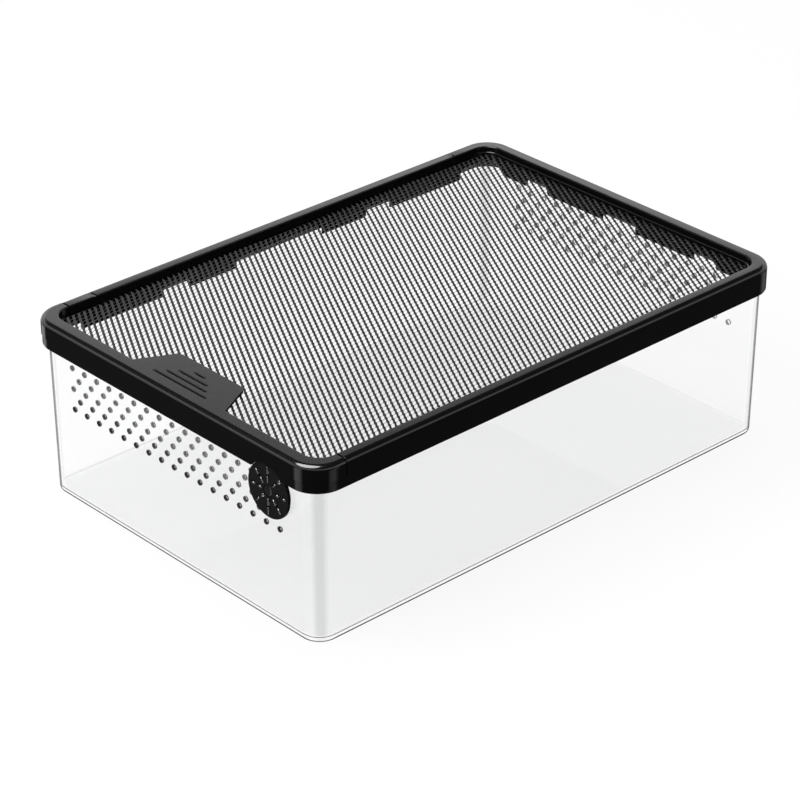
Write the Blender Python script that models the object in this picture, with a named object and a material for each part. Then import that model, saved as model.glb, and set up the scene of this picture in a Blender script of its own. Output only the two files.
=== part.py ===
"""Reptile breeding box: clear tub, lift-off lid frame, sliding mesh panel, turning vent dial.

Metres, +Z up. X runs along the box, Y across it, and the origin is the middle of the
underside. The end at -X carries the thumb tab of the sliding panel and the vent dial.
"""

from math import cos, hypot, pi, radians, sin

import bmesh
import bpy
from mathutils import Matrix, Vector

# Whole box
LID_LENGTH = 0.325
LID_WIDTH = 0.220
LID_CORNER = 0.0157
BOX_HEIGHT = 0.101
CORNER_STEPS = 7

# Tub: clear, drafted, with a rounded lower edge
TUB_INSET = 0.0031
TUB_RIM_Z = 0.0901
TUB_DRAFT = 0.0012
TUB_WALL = 0.0018
TUB_FLOOR = 0.0020
TUB_EDGE_RADIUS = 0.0020
TUB_EDGE_STEPS = 3

# Vent holes in both end walls, in staggered rows
VENT_HOLE_RADIUS = 0.0016
VENT_HOLE_SIDES = 8
VENT_PITCH_Y = 0.010
VENT_PITCH_Z = 0.0060
VENT_LOW_ROW_Z = 0.0560
VENT_ROWS = 5
VENT_LONG_ROW = 17

# Vent dial and its seat in the wall
DIAL_Y = -0.0750
DIAL_Z = 0.0763
DIAL_RADIUS = 0.0145
DIAL_THICKNESS = 0.0014
DIAL_SIDES = 40
DIAL_CHAMFER = 0.0004
SEAT_RADIUS = 0.0132
SEAT_PROUD = 0.0002
SLOT_COUNT = 8
SLOT_INNER = 0.0050
SLOT_OUTER = 0.0122
SLOT_WIDTH = 0.0017

# Pivot: a snap rivet, its head sunk in the dial's hub
PIVOT_RADIUS = 0.0014
PIVOT_BORE = 0.0018
PIVOT_SIDES = 16
HEAD_RADIUS = 0.0028
HEAD_HEIGHT = 0.0006
HEAD_TOP_SHARE = 0.7
HEAD_EDGE_SHARE = 0.5
TAIL_HEIGHT = 0.0014
RECESS_RADIUS = 0.0032
RECESS_DEPTH = 0.0007

# Lid frame section, as depths in from the lid's outer face and heights
SKIRT_LOW_Z = 0.0860
SKIRT_WALL = 0.0021
SKIRT_TIP_EASE = 0.0003
RIM_FILLET = 0.0030
RIM_FILLET_STEPS = 5
RIM_INNER_ROUND = 0.0006
GROOVE_DEPTH = 0.0034
GROOVE_LOW_Z = 0.0920
GROOVE_TOP_Z = 0.0960
WEB_INNER = 0.0056
WEB_LOW_Z = 0.0904
DIAL_NOTCH_RADIUS = 0.0149
DIAL_NOTCH_DEPTH = 0.0030

# Well: the opening inside the rim, closed at -X by the bar of the panel's cap
WELL_FRONT_X = -0.1539
WELL_REAR_X = 0.1546
WELL_HALF_WIDTH = 0.1026
WELL_CORNER = 0.0100

# Locating tabs that hang inside the tub's rim
TAB_OUTER = 0.0053
TAB_THICKNESS = 0.0020
TAB_LOW_Z = 0.0845
TAB_TOP_Z = 0.0914
TAB_TAPER_HEIGHT = 0.0020
TAB_TAPER_DEPTH = 0.0008
LONG_TABS = ((0.031, 0.062), (0.081, 0.134))
END_TABS = ((0.013, 0.055), (0.072, 0.091))

# Ramped notches across the long rails, deepest at these places
RAIL_NOTCHES = (-0.1240, 0.1265)
RAIL_NOTCH_LENGTH = 0.0050
RAIL_NOTCH_DEPTH = 0.0004

# Sliding panel: end cap, plate with runners, window and rebate
SEAM_X = -0.1428
SEAM_GAP = 0.0005
END_DECK_Z = 0.0916
CAP_PROUD = 0.0004
RUNNER_CLEARANCE = 0.0004
PLATE_FRONT_X = -0.1560
WINDOW_FRONT_X = -0.1500
WINDOW_INSET = 0.0026
REBATE_Z = 0.0950
REBATE_FRONT_X = -0.1520
REBATE_INSET = 0.0013
REBATE_SLOT_HEIGHT = 0.0010

# Ridge round the panel's rear end, which slopes down along the sides
RIDGE_TOP_Z = 0.0986
RIDGE_INSET = 0.0004
RIDGE_WIDTH = 0.0016
RIDGE_ROOT = 0.0006
RIDGE_START_X = 0.1380
RIDGE_SLOPE_LENGTH = 0.0080

# Thumb tab and its grip grooves
THUMB_ROOT = 0.0030
THUMB_BASE_HALF = 0.0356
THUMB_MID_X = -0.1357
THUMB_MID_HALF = 0.0262
THUMB_FRONT_X = -0.1324
THUMB_FRONT_HALF = 0.0205
THUMB_BEND_STEPS = 4
THUMB_THICKNESS = 0.0018
GRIP_FIRST_X = -0.1530
GRIP_PITCH = 0.0042
GRIP_LENGTHS = (0.0410, 0.0314, 0.0226, 0.0088)
GRIP_WIDTH = 0.0011
GRIP_DEPTH = 0.0005

# Mesh screen: diamond openings, long way across the box
SCREEN_THICKNESS = 0.0005
SCREEN_GAP = 0.0004
SCREEN_LIFT = 0.0001
SCREEN_BORDER = 0.0016
SCREEN_STRAND = 0.0011
SCREEN_PITCH_X = 0.0184
SCREEN_PITCH_Y = 0.0325
SCREEN_CORNER_STEPS = 4

FIT_GAP = 0.0003
OVERCUT = 0.0020


def clear_scene():
    """Start from an empty scene."""
    for item in list(bpy.data.objects):
        bpy.data.objects.remove(item, do_unlink=True)


def plastic(name, colour, roughness, transmission=0.0, metallic=0.0):
    """Return a Principled material."""
    material = bpy.data.materials.new(name)
    material.use_nodes = True
    shader = material.node_tree.nodes["Principled BSDF"]
    shader.inputs["Base Color"].default_value = (*colour, 1.0)
    shader.inputs["Roughness"].default_value = roughness
    shader.inputs["Metallic"].default_value = metallic
    shader.inputs["Transmission Weight"].default_value = transmission
    material.diffuse_color = (*colour, 1.0)
    return material


def add_object(name, bm, material=None, smooth_angle=30.0):
    """Turn a bmesh into a named object with outward faces."""
    bmesh.ops.recalc_face_normals(bm, faces=bm.faces)
    mesh = bpy.data.meshes.new(name)
    bm.to_mesh(mesh)
    bm.free()
    mesh.shade_smooth()
    mesh.set_sharp_from_angle(angle=radians(smooth_angle))
    item = bpy.data.objects.new(name, mesh)
    bpy.context.collection.objects.link(item)
    if material:
        mesh.materials.append(material)
    return item


def tool(name, bm):
    """Make a helper solid that a Boolean uses and that is not a piece itself."""
    item = add_object(name, bm)
    item.hide_render = True
    item.display_type = "WIRE"
    return item


def combine(item, other, operation):
    """Cut, join or keep the common part of two solids with a Boolean modifier."""
    modifier = item.modifiers.new(other.name, "BOOLEAN")
    modifier.operation = operation
    modifier.solver = "EXACT"
    modifier.object = other


def rounded_rectangle(min_x, max_x, half_width, radius, steps=CORNER_STEPS):
    """Return the outline of a rounded rectangle, anticlockwise from its +X -Y corner."""
    centres = (
        (max_x - radius, -half_width + radius, -90),
        (max_x - radius, half_width - radius, 0),
        (min_x + radius, half_width - radius, 90),
        (min_x + radius, -half_width + radius, 180),
    )
    outline = []
    for centre_x, centre_y, start in centres:
        for step in range(steps + 1):
            turn = radians(start + 90 * step / steps)
            outline.append((centre_x + radius * cos(turn), centre_y + radius * sin(turn)))
    return outline


def lid_outline(inset):
    """Return the lid's outer outline moved in by a distance."""
    half_length = LID_LENGTH / 2 - inset
    return rounded_rectangle(-half_length, half_length, LID_WIDTH / 2 - inset, LID_CORNER - inset)


def well_outline(inset, front_x=None, steps=CORNER_STEPS):
    """Return the well's outline moved in by a distance, with a front edge of its own if given."""
    if front_x is None:
        front_x = WELL_FRONT_X + inset
    half_width = WELL_HALF_WIDTH - inset
    return rounded_rectangle(front_x, WELL_REAR_X - inset, half_width, WELL_CORNER - inset, steps)


def rear_part(outline):
    """Return the points of an outline's two rounded corners at +X."""
    return outline[: len(outline) // 2]


def loop_at(bm, outline, z):
    """Add one ring of vertices at a height."""
    return [bm.verts.new((x, y, z)) for x, y in outline]


def bridge(bm, lower, upper):
    """Join two rings of equal count with quads."""
    count = len(lower)
    for index in range(count):
        following = (index + 1) % count
        bm.faces.new((lower[index], lower[following], upper[following], upper[index]))


def close_stack(bm, rings):
    """Join a stack of rings with quads and close both ends with flat faces."""
    for lower, upper in zip(rings, rings[1:]):
        bridge(bm, lower, upper)
    bm.faces.new(list(reversed(rings[0])))
    bm.faces.new(rings[-1])


def swept_ring(levels):
    """Join (outline, z) levels into a ring whose last level meets its first."""
    bm = bmesh.new()
    rings = [loop_at(bm, outline, z) for outline, z in levels]
    for index, ring in enumerate(rings):
        bridge(bm, ring, rings[(index + 1) % len(rings)])
    return bm


def stacked_solid(levels):
    """Join (outline, z) levels into one solid with flat ends."""
    bm = bmesh.new()
    close_stack(bm, [loop_at(bm, outline, z) for outline, z in levels])
    return bm


def prism(outline, low_z, high_z):
    """Extrude an outline between two heights."""
    return stacked_solid([(outline, low_z), (outline, high_z)])


def box(low, high):
    """Make a box between two corners."""
    outline = ((low[0], low[1]), (high[0], low[1]), (high[0], high[1]), (low[0], high[1]))
    return prism(outline, low[2], high[2])


def wedge(corners, low_y, high_y):
    """Extrude (x, z) corners between two places across the box."""
    bm = bmesh.new()
    close_stack(bm, [[bm.verts.new((x, y, z)) for x, z in corners] for y in (low_y, high_y)])
    return bm


def turned_along_x(section, sides, centre_y, centre_z):
    """Revolve (x, radius) pairs about a line parallel to X, with flat ends."""
    bm = bmesh.new()
    turns = [2 * pi * side / sides for side in range(sides)]
    rings = []
    for x, radius in section:
        circle = [(centre_y + radius * cos(turn), centre_z + radius * sin(turn)) for turn in turns]
        rings.append([bm.verts.new((x, y, z)) for y, z in circle])
    close_stack(bm, rings)
    return bm


def add_copy(bm, part):
    """Move the geometry of one bmesh into another."""
    carrier = bpy.data.meshes.new("carrier")
    part.to_mesh(carrier)
    part.free()
    bm.from_mesh(carrier)
    bpy.data.meshes.remove(carrier)


def fillet(radius, start_inset, top_z, steps):
    """Return the (inset, z) points of a round outer top edge, from the side to the top."""
    points = []
    for step in range(steps + 1):
        turn = pi / 2 * step / steps
        points.append((start_inset + radius * (1 - cos(turn)), top_z - radius * (1 - sin(turn))))
    return points


def tub_inset(z):
    """Return the inset of the tub's outer face from the lid's outline at a height."""
    return TUB_INSET + TUB_DRAFT * (TUB_RIM_Z - z) / TUB_RIM_Z


def tub_wall_x(z):
    """Return how far out an end wall's outer face stands at a height."""
    return LID_LENGTH / 2 - tub_inset(z)


def tub_shell():
    """Loft the tub's outside, up and over the rim, and down the inside to the floor."""
    outside = []
    inside = [(TUB_INSET + TUB_WALL, TUB_RIM_Z)]
    for step in range(TUB_EDGE_STEPS + 1):
        turn = pi / 2 * step / TUB_EDGE_STEPS
        z = TUB_EDGE_RADIUS * (1 - cos(turn))
        outside.append((tub_inset(z) + TUB_EDGE_RADIUS * (1 - sin(turn)), z))
        z = TUB_FLOOR + TUB_EDGE_RADIUS * (1 - sin(turn))
        inside.append((tub_inset(z) + TUB_WALL + TUB_EDGE_RADIUS * (1 - cos(turn)), z))
    outside.append((TUB_INSET, TUB_RIM_Z))
    return stacked_solid([(lid_outline(inset), z) for inset, z in outside + inside])


def vent_places(end):
    """Return the (y, z) centres of one end wall's holes; the dial's place has none."""
    places = []
    for row in range(VENT_ROWS):
        count = VENT_LONG_ROW - row % 2
        z = VENT_LOW_ROW_Z + row * VENT_PITCH_Z
        for column in range(count):
            y = (column - (count - 1) / 2) * VENT_PITCH_Y
            under_dial = hypot(y - DIAL_Y, z - DIAL_Z) < SEAT_RADIUS + VENT_HOLE_RADIUS
            if end > 0 or not under_dial:
                places.append((y, z))
    return places


def vent_cutter(end):
    """Make all the hole cutters of one end wall."""
    bm = bmesh.new()
    middle = end * (LID_LENGTH / 2 - TUB_INSET - TUB_WALL / 2)
    reach = TUB_WALL / 2 + OVERCUT
    section = ((middle - reach, VENT_HOLE_RADIUS), (middle + reach, VENT_HOLE_RADIUS))
    for y, z in vent_places(end):
        add_copy(bm, turned_along_x(section, VENT_HOLE_SIDES, y, z))
    return tool("vent_cutter_" + ("rear" if end > 0 else "front"), bm)


def slot_cutter(name, low_x, high_x):
    """Make the ring of radial slots shared by the dial and the wall behind it."""
    bm = bmesh.new()
    move = Matrix.Translation((0, DIAL_Y, DIAL_Z))
    for index in range(SLOT_COUNT):
        part = box((low_x, SLOT_INNER, -SLOT_WIDTH / 2), (high_x, SLOT_OUTER, SLOT_WIDTH / 2))
        turn = Matrix.Rotation(2 * pi * index / SLOT_COUNT, 4, "X")
        bmesh.ops.transform(part, matrix=move @ turn, verts=part.verts)
        add_copy(bm, part)
    return tool(name, bm)


def dial_drum(name, low_x, high_x, radius, sides):
    """Make a round tool on the dial's axis."""
    return tool(name, turned_along_x(((low_x, radius), (high_x, radius)), sides, DIAL_Y, DIAL_Z))


def dial_planes():
    """Return the x of the seat's face, the dial's back and the dial's front."""
    seat = -tub_wall_x(DIAL_Z + SEAT_RADIUS) - SEAT_PROUD
    back = seat - FIT_GAP
    return seat, back, back - DIAL_THICKNESS


def make_tub(material):
    """Clear tub with vent holes, the dial's seat, its slots and the pivot's bore."""
    tub = add_object("tub", tub_shell(), material)
    seat_x, _, front_x = dial_planes()
    inner_x = -(tub_wall_x(DIAL_Z - SEAT_RADIUS) - TUB_WALL / 2)
    behind_x = inner_x + TUB_WALL + OVERCUT
    combine(tub, dial_drum("dial_seat", seat_x, inner_x, SEAT_RADIUS, DIAL_SIDES), "UNION")
    combine(tub, vent_cutter(1), "DIFFERENCE")
    combine(tub, vent_cutter(-1), "DIFFERENCE")
    combine(tub, slot_cutter("seat_slots", front_x, behind_x), "DIFFERENCE")
    combine(tub, dial_drum("pivot_bore", front_x, behind_x, PIVOT_BORE, PIVOT_SIDES), "DIFFERENCE")


def make_dial(material):
    """Round dial with the same ring of slots as the wall behind it."""
    _, back_x, front_x = dial_planes()
    section = (
        (front_x, DIAL_RADIUS - DIAL_CHAMFER),
        (front_x + DIAL_CHAMFER, DIAL_RADIUS),
        (back_x, DIAL_RADIUS),
    )
    dial = add_object("vent_dial", turned_along_x(section, DIAL_SIDES, DIAL_Y, DIAL_Z), material)
    centre = Vector((back_x, DIAL_Y, DIAL_Z))
    dial.data.transform(Matrix.Translation(-centre))
    dial.location = centre
    low_x = front_x - OVERCUT
    high_x = back_x + OVERCUT
    recess_x = front_x + RECESS_DEPTH
    combine(dial, slot_cutter("dial_slots", low_x, high_x), "DIFFERENCE")
    combine(dial, dial_drum("dial_bore", low_x, high_x, PIVOT_BORE, PIVOT_SIDES), "DIFFERENCE")
    combine(dial, dial_drum("hub_recess", low_x, recess_x, RECESS_RADIUS, PIVOT_SIDES), "DIFFERENCE")


def make_pivot(material):
    """Snap rivet that holds the dial: head sunk in its hub, shank, and a tapered tail inside."""
    _, _, front_x = dial_planes()
    head_back = front_x + RECESS_DEPTH - FIT_GAP
    tail_face = -(tub_wall_x(DIAL_Z) - TUB_WALL) + FIT_GAP
    section = (
        (head_back - HEAD_HEIGHT, HEAD_RADIUS * HEAD_TOP_SHARE),
        (head_back - HEAD_HEIGHT * HEAD_EDGE_SHARE, HEAD_RADIUS),
        (head_back, HEAD_RADIUS),
        (head_back, PIVOT_RADIUS),
        (tail_face, PIVOT_RADIUS),
        (tail_face, HEAD_RADIUS),
        (tail_face + TAIL_HEIGHT, PIVOT_RADIUS),
    )
    add_object("vent_pivot", turned_along_x(section, PIVOT_SIDES, DIAL_Y, DIAL_Z), material)


def lid_levels():
    """Return the lid frame's section as levels: skirt, rim, well, groove and web."""
    skirt_and_rim = [(SKIRT_TIP_EASE, SKIRT_LOW_Z), (0.0, SKIRT_LOW_Z + 2 * SKIRT_TIP_EASE)]
    skirt_and_rim += fillet(RIM_FILLET, 0.0, BOX_HEIGHT, RIM_FILLET_STEPS)
    well = [(-RIM_INNER_ROUND, BOX_HEIGHT), (0.0, BOX_HEIGHT - RIM_INNER_ROUND), (0.0, GROOVE_TOP_Z)]
    groove_and_web = [
        (GROOVE_DEPTH, GROOVE_TOP_Z),
        (GROOVE_DEPTH, GROOVE_LOW_Z),
        (WEB_INNER, GROOVE_LOW_Z),
        (WEB_INNER, WEB_LOW_Z),
        (SKIRT_WALL, WEB_LOW_Z),
        (SKIRT_WALL - SKIRT_TIP_EASE, SKIRT_LOW_Z),
    ]
    return (
        [(lid_outline(inset), z) for inset, z in skirt_and_rim]
        + [(well_outline(inset), z) for inset, z in well]
        + [(lid_outline(inset), z) for inset, z in groove_and_web]
    )


def tab_spans():
    """Make the spans along each side where the locating tabs hang down."""
    bm = bmesh.new()
    low_z = TAB_LOW_Z - OVERCUT
    high_z = TAB_TOP_Z + OVERCUT
    depth = 2 * (TAB_OUTER + TAB_THICKNESS)
    for sign in (-1, 1):
        for edge in (-1, 1):
            low_y, high_y = sorted((edge * LID_WIDTH / 2, edge * (LID_WIDTH / 2 - depth)))
            for start, stop in LONG_TABS:
                low_x, high_x = sorted((sign * start, sign * stop))
                add_copy(bm, box((low_x, low_y, low_z), (high_x, high_y, high_z)))
            low_x, high_x = sorted((edge * LID_LENGTH / 2, edge * (LID_LENGTH / 2 - depth)))
            for start, stop in END_TABS:
                near_y, far_y = sorted((sign * start, sign * stop))
                add_copy(bm, box((low_x, near_y, low_z), (high_x, far_y, high_z)))
    return tool("tab_spans", bm)


def make_tabs():
    """Make the interrupted tabs, tapered at their lower inner edge."""
    inner = TAB_OUTER + TAB_THICKNESS
    section = (
        (TAB_OUTER, TAB_LOW_Z),
        (TAB_OUTER, TAB_TOP_Z),
        (inner, TAB_TOP_Z),
        (inner, TAB_LOW_Z + TAB_TAPER_HEIGHT),
        (inner - TAB_TAPER_DEPTH, TAB_LOW_Z),
    )
    tabs = tool("locating_tabs", swept_ring([(lid_outline(inset), z) for inset, z in section]))
    combine(tabs, tab_spans(), "INTERSECT")
    return tabs


def rail_notches():
    """Make the shallow ramped notches across the tops of the two long rails."""
    bm = bmesh.new()
    for deep_x in RAIL_NOTCHES:
        far_x = deep_x + (RAIL_NOTCH_LENGTH if deep_x > 0 else -RAIL_NOTCH_LENGTH)
        corners = (
            (deep_x, BOX_HEIGHT - RAIL_NOTCH_DEPTH),
            (far_x, BOX_HEIGHT + RAIL_NOTCH_DEPTH / 2),
            (deep_x, BOX_HEIGHT + OVERCUT),
        )
        for edge in (-1, 1):
            low_y, high_y = sorted((edge * LID_WIDTH / 2, edge * (WELL_HALF_WIDTH - OVERCUT)))
            add_copy(bm, wedge(corners, low_y, high_y))
    return tool("rail_notches", bm)


def make_lid_frame(material):
    """Snap-on frame, open at the -X end above its deck, where the panel's cap closes it."""
    lid = add_object("lid_frame", swept_ring(lid_levels()), material)
    reach = LID_LENGTH / 2 + OVERCUT
    half = LID_WIDTH / 2 + OVERCUT
    mouth = box((-reach, -half, END_DECK_Z), (SEAM_X + SEAM_GAP, half, BOX_HEIGHT + OVERCUT))
    combine(lid, tool("panel_mouth", mouth), "DIFFERENCE")
    combine(lid, make_tabs(), "UNION")
    combine(lid, rail_notches(), "DIFFERENCE")
    inner_x = DIAL_NOTCH_DEPTH - LID_LENGTH / 2
    combine(lid, dial_drum("dial_notch", -reach, inner_x, DIAL_NOTCH_RADIUS, DIAL_SIDES), "DIFFERENCE")


def cap_block():
    """Make the cap's outer form: the rim's outline, to be kept only at the -X end."""
    section = [(-CAP_PROUD, END_DECK_Z + FIT_GAP)]
    section += fillet(RIM_FILLET, -CAP_PROUD, BOX_HEIGHT, RIM_FILLET_STEPS)
    return stacked_solid([(lid_outline(inset), z) for inset, z in section])


def runner_plate(low_z, high_z):
    """Make the panel's plate, whose edges run in the lid's grooves, square inside the cap."""
    inset = GROOVE_DEPTH + RUNNER_CLEARANCE
    half = LID_WIDTH / 2 - inset
    front = [(PLATE_FRONT_X, half), (PLATE_FRONT_X, -half)]
    return prism(rear_part(lid_outline(inset)) + front, low_z, high_z)


def rear_ridge(foot_z):
    """Make the ridge round the panel's rear end, whose two arms slope down to the plate."""
    outer = rear_part(well_outline(RIDGE_INSET))
    inner = rear_part(well_outline(RIDGE_INSET + RIDGE_WIDTH))
    outer_half = WELL_HALF_WIDTH - RIDGE_INSET
    inner_half = outer_half - RIDGE_WIDTH
    outline = [(RIDGE_START_X, -outer_half), *outer, (RIDGE_START_X, outer_half)]
    outline += [(RIDGE_START_X, inner_half), *reversed(inner), (RIDGE_START_X, -inner_half)]
    ridge = tool("rear_ridge", prism(outline, foot_z - RIDGE_ROOT, RIDGE_TOP_Z))
    climb = (RIDGE_TOP_Z - foot_z) / RIDGE_SLOPE_LENGTH * OVERCUT
    corners = (
        (RIDGE_START_X - OVERCUT, foot_z - climb),
        (RIDGE_START_X + RIDGE_SLOPE_LENGTH + OVERCUT, RIDGE_TOP_Z + climb),
        (RIDGE_START_X - OVERCUT, RIDGE_TOP_Z + climb),
    )
    combine(ridge, tool("ridge_slope", wedge(corners, -LID_WIDTH / 2, LID_WIDTH / 2)), "DIFFERENCE")
    return ridge


def thumb_outline():
    """Return the thumb tab's outline, tapering to a rounded front."""
    bend_x = THUMB_FRONT_X - THUMB_MID_X
    bend_y = THUMB_MID_HALF - THUMB_FRONT_HALF
    side = [(WELL_FRONT_X - THUMB_ROOT, THUMB_BASE_HALF), (WELL_FRONT_X, THUMB_BASE_HALF)]
    for step in range(THUMB_BEND_STEPS + 1):
        turn = pi / 2 * step / THUMB_BEND_STEPS
        side.append((THUMB_MID_X + bend_x * sin(turn), THUMB_MID_HALF - bend_y * (1 - cos(turn))))
    return [(x, -y) for x, y in side] + list(reversed(side))


def grip_cutter():
    """Make the row of grip grooves that shorten towards the mesh."""
    bm = bmesh.new()
    for index, length in enumerate(GRIP_LENGTHS):
        x = GRIP_FIRST_X + index * GRIP_PITCH
        low = (x - GRIP_WIDTH / 2, -length / 2, BOX_HEIGHT - GRIP_DEPTH)
        high = (x + GRIP_WIDTH / 2, length / 2, BOX_HEIGHT + OVERCUT)
        add_copy(bm, box(low, high))
    return tool("grip_grooves", bm)


def make_slide_frame(material):
    """Sliding panel's moulding: end cap with thumb tab, runners, window and rear ridge."""
    panel = add_object("slide_frame", cap_block(), material)
    reach = LID_LENGTH / 2 + OVERCUT
    half = LID_WIDTH / 2 + OVERCUT
    high_z = BOX_HEIGHT + OVERCUT
    cap_span = box((-reach, -half, END_DECK_Z), (SEAM_X, half, high_z))
    combine(panel, tool("cap_span", cap_span), "INTERSECT")

    plate_low = GROOVE_LOW_Z + RUNNER_CLEARANCE
    plate_top = GROOVE_TOP_Z - RUNNER_CLEARANCE
    combine(panel, tool("runner_plate", runner_plate(plate_low, plate_top)), "UNION")
    combine(panel, tool("cap_well", prism(well_outline(0.0), plate_top, high_z)), "DIFFERENCE")
    combine(panel, rear_ridge(plate_top), "UNION")

    rebate = prism(well_outline(REBATE_INSET, REBATE_FRONT_X), REBATE_Z, REBATE_Z + REBATE_SLOT_HEIGHT)
    combine(panel, tool("mesh_rebate", rebate), "DIFFERENCE")
    window = prism(well_outline(WINDOW_INSET, WINDOW_FRONT_X), plate_low - OVERCUT, REBATE_Z + OVERCUT)
    combine(panel, tool("window", window), "DIFFERENCE")

    thumb = prism(thumb_outline(), BOX_HEIGHT - THUMB_THICKNESS, BOX_HEIGHT)
    combine(panel, tool("thumb_tab", thumb), "UNION")
    combine(panel, grip_cutter(), "DIFFERENCE")


def mesh_cells(low_x, high_x, half_width):
    """Make the diamond cutters of the screen, clipped to the inside of its border."""
    bm = bmesh.new()
    open_share = 1 - SCREEN_STRAND * hypot(SCREEN_PITCH_X, SCREEN_PITCH_Y) / SCREEN_PITCH_X / SCREEN_PITCH_Y
    wide = open_share * SCREEN_PITCH_X / 2
    tall = open_share * SCREEN_PITCH_Y / 2
    low_z = REBATE_Z - OVERCUT
    high_z = REBATE_Z + OVERCUT
    columns = 2 * int((high_x - low_x) / SCREEN_PITCH_X + 2)
    rows = int(half_width / SCREEN_PITCH_Y + 1)
    for column in range(columns):
        x = low_x + column * SCREEN_PITCH_X / 2
        for row in range(-rows, rows + 1):
            y = (row + (column % 2) / 2) * SCREEN_PITCH_Y
            outline = ((x - wide, y), (x, y - tall), (x + wide, y), (x, y + tall))
            add_copy(bm, prism(outline, low_z, high_z))
    cells = tool("mesh_cells", bm)
    limits = box((low_x, -half_width, low_z + OVERCUT / 2), (high_x, half_width, high_z - OVERCUT / 2))
    combine(cells, tool("mesh_limits", limits), "INTERSECT")
    return cells


def make_mesh_screen(material):
    """Expanded metal screen lying in the panel's rebate."""
    inset = REBATE_INSET + SCREEN_GAP
    front_x = REBATE_FRONT_X + SCREEN_GAP
    low_z = REBATE_Z + SCREEN_LIFT
    sheet = prism(well_outline(inset, front_x, SCREEN_CORNER_STEPS), low_z, low_z + SCREEN_THICKNESS)
    screen = add_object("mesh_screen", sheet, material)
    border = inset + SCREEN_BORDER
    cells = mesh_cells(front_x + SCREEN_BORDER, WELL_REAR_X - border, WELL_HALF_WIDTH - border)
    combine(screen, cells, "DIFFERENCE")


def main():
    """Build every piece."""
    clear_scene()
    make_tub(plastic("clear_plastic", (0.93, 0.94, 0.94), 0.05, transmission=1.0))
    make_lid_frame(plastic("black_plastic", (0.012, 0.012, 0.013), 0.30))
    make_slide_frame(plastic("panel_black_plastic", (0.014, 0.014, 0.015), 0.32))
    make_mesh_screen(plastic("coated_steel", (0.020, 0.020, 0.020), 0.45, metallic=0.2))
    make_dial(plastic("dial_black_plastic", (0.020, 0.020, 0.021), 0.45))
    make_pivot(plastic("pivot_black_plastic", (0.018, 0.018, 0.019), 0.40))


main()
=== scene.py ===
"""Looks of a reptile breeding box: clear tub, black lid frame, sliding mesh panel and vent dial.

Metres, +Z up. X runs along the box and Y across it. The origin is the middle of the underside,
and the end at -X carries the thumb tab and the dial.
"""

import logging
from collections.abc import Callable, Iterable, Sequence
from dataclasses import dataclass, field, replace
from enum import Enum
from itertools import product
from math import cos, pi, radians, sin

import bmesh
import bpy
from bpy.types import Material, Mesh, Node, NodeSocket, NodeTree, Object
from mathutils import Matrix, Vector


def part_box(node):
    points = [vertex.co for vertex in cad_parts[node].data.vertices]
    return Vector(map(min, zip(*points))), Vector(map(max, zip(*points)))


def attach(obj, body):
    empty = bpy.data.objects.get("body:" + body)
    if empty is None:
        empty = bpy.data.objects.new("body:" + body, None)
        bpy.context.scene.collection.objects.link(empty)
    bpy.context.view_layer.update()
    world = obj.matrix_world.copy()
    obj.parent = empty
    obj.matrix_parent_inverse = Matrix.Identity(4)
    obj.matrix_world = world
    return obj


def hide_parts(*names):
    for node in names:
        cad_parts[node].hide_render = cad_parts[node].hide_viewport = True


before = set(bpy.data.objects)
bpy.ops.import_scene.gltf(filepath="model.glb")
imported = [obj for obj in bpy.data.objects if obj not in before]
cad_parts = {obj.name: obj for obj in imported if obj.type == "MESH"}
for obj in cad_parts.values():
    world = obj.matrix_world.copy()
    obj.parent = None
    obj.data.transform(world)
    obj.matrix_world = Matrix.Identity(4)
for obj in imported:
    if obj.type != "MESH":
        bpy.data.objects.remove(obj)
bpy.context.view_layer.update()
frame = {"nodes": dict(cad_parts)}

LOG = logging.getLogger("breeding_box")
Form = bmesh.types.BMesh
Point = tuple[float, float]
Colour = tuple[float, float, float]

# Points nearer than WELD are one, and a cutter reaches OVERCUT past what it cuts. Faces that meet at
# more than SHARP_ANGLE degrees keep their edge, and AREA_WEIGHT lets the larger face set a normal.
WELD = 1e-6
OVERCUT = 0.002
SHARP_ANGLE = 32.0
AREA_WEIGHT = 100
ROUND_STEPS = 4


class Operation(Enum):
    """What one solid does to another."""

    CUT = "DIFFERENCE"
    JOIN = "UNION"
    KEEP = "INTERSECT"


class Body(Enum):
    """The moving bodies of the box."""

    TUB = "tub"
    LID = "lid"
    PANEL = "panel"
    DIAL = "dial"


class Slot(Enum):
    """The material slots of the record."""

    CLEAR = "clear_plastic"
    LID = "lid_plastic"
    PANEL = "panel_plastic"
    MESH = "coated_mesh"
    DIAL = "dial_plastic"
    PIVOT = "pivot_plastic"


# Outlines and solids


@dataclass(frozen=True)
class RoundedRectangle:
    """A rounded rectangle in plan, centred on the X axis."""

    low_x: float
    high_x: float
    half_width: float
    corner: float
    steps: int = 20

    def inset(self, distance: float) -> "RoundedRectangle":
        """Return the rectangle moved in on all sides.

        Args:
            distance: How far in, or out where it is negative.

        Returns:
            The smaller or larger rectangle.
        """
        return RoundedRectangle(
            self.low_x + distance,
            self.high_x - distance,
            self.half_width - distance,
            self.corner - distance,
            self.steps,
        )

    def points(self) -> list[Point]:
        """Return the outline.

        Returns:
            Its points, anticlockwise from the corner at +X -Y.
        """
        corners = (
            (self.high_x - self.corner, self.corner - self.half_width, -90),
            (self.high_x - self.corner, self.half_width - self.corner, 0),
            (self.low_x + self.corner, self.half_width - self.corner, 90),
            (self.low_x + self.corner, self.corner - self.half_width, 180),
        )
        outline = []
        for x, y, start in corners:
            for across, along in arc(self.corner, start, start + 90, self.steps):
                outline.append((x + across, y + along))
        return outline

    def rear(self) -> list[Point]:
        """Return the points of the two corners at +X."""
        return self.points()[: 2 * (self.steps + 1)]


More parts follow.
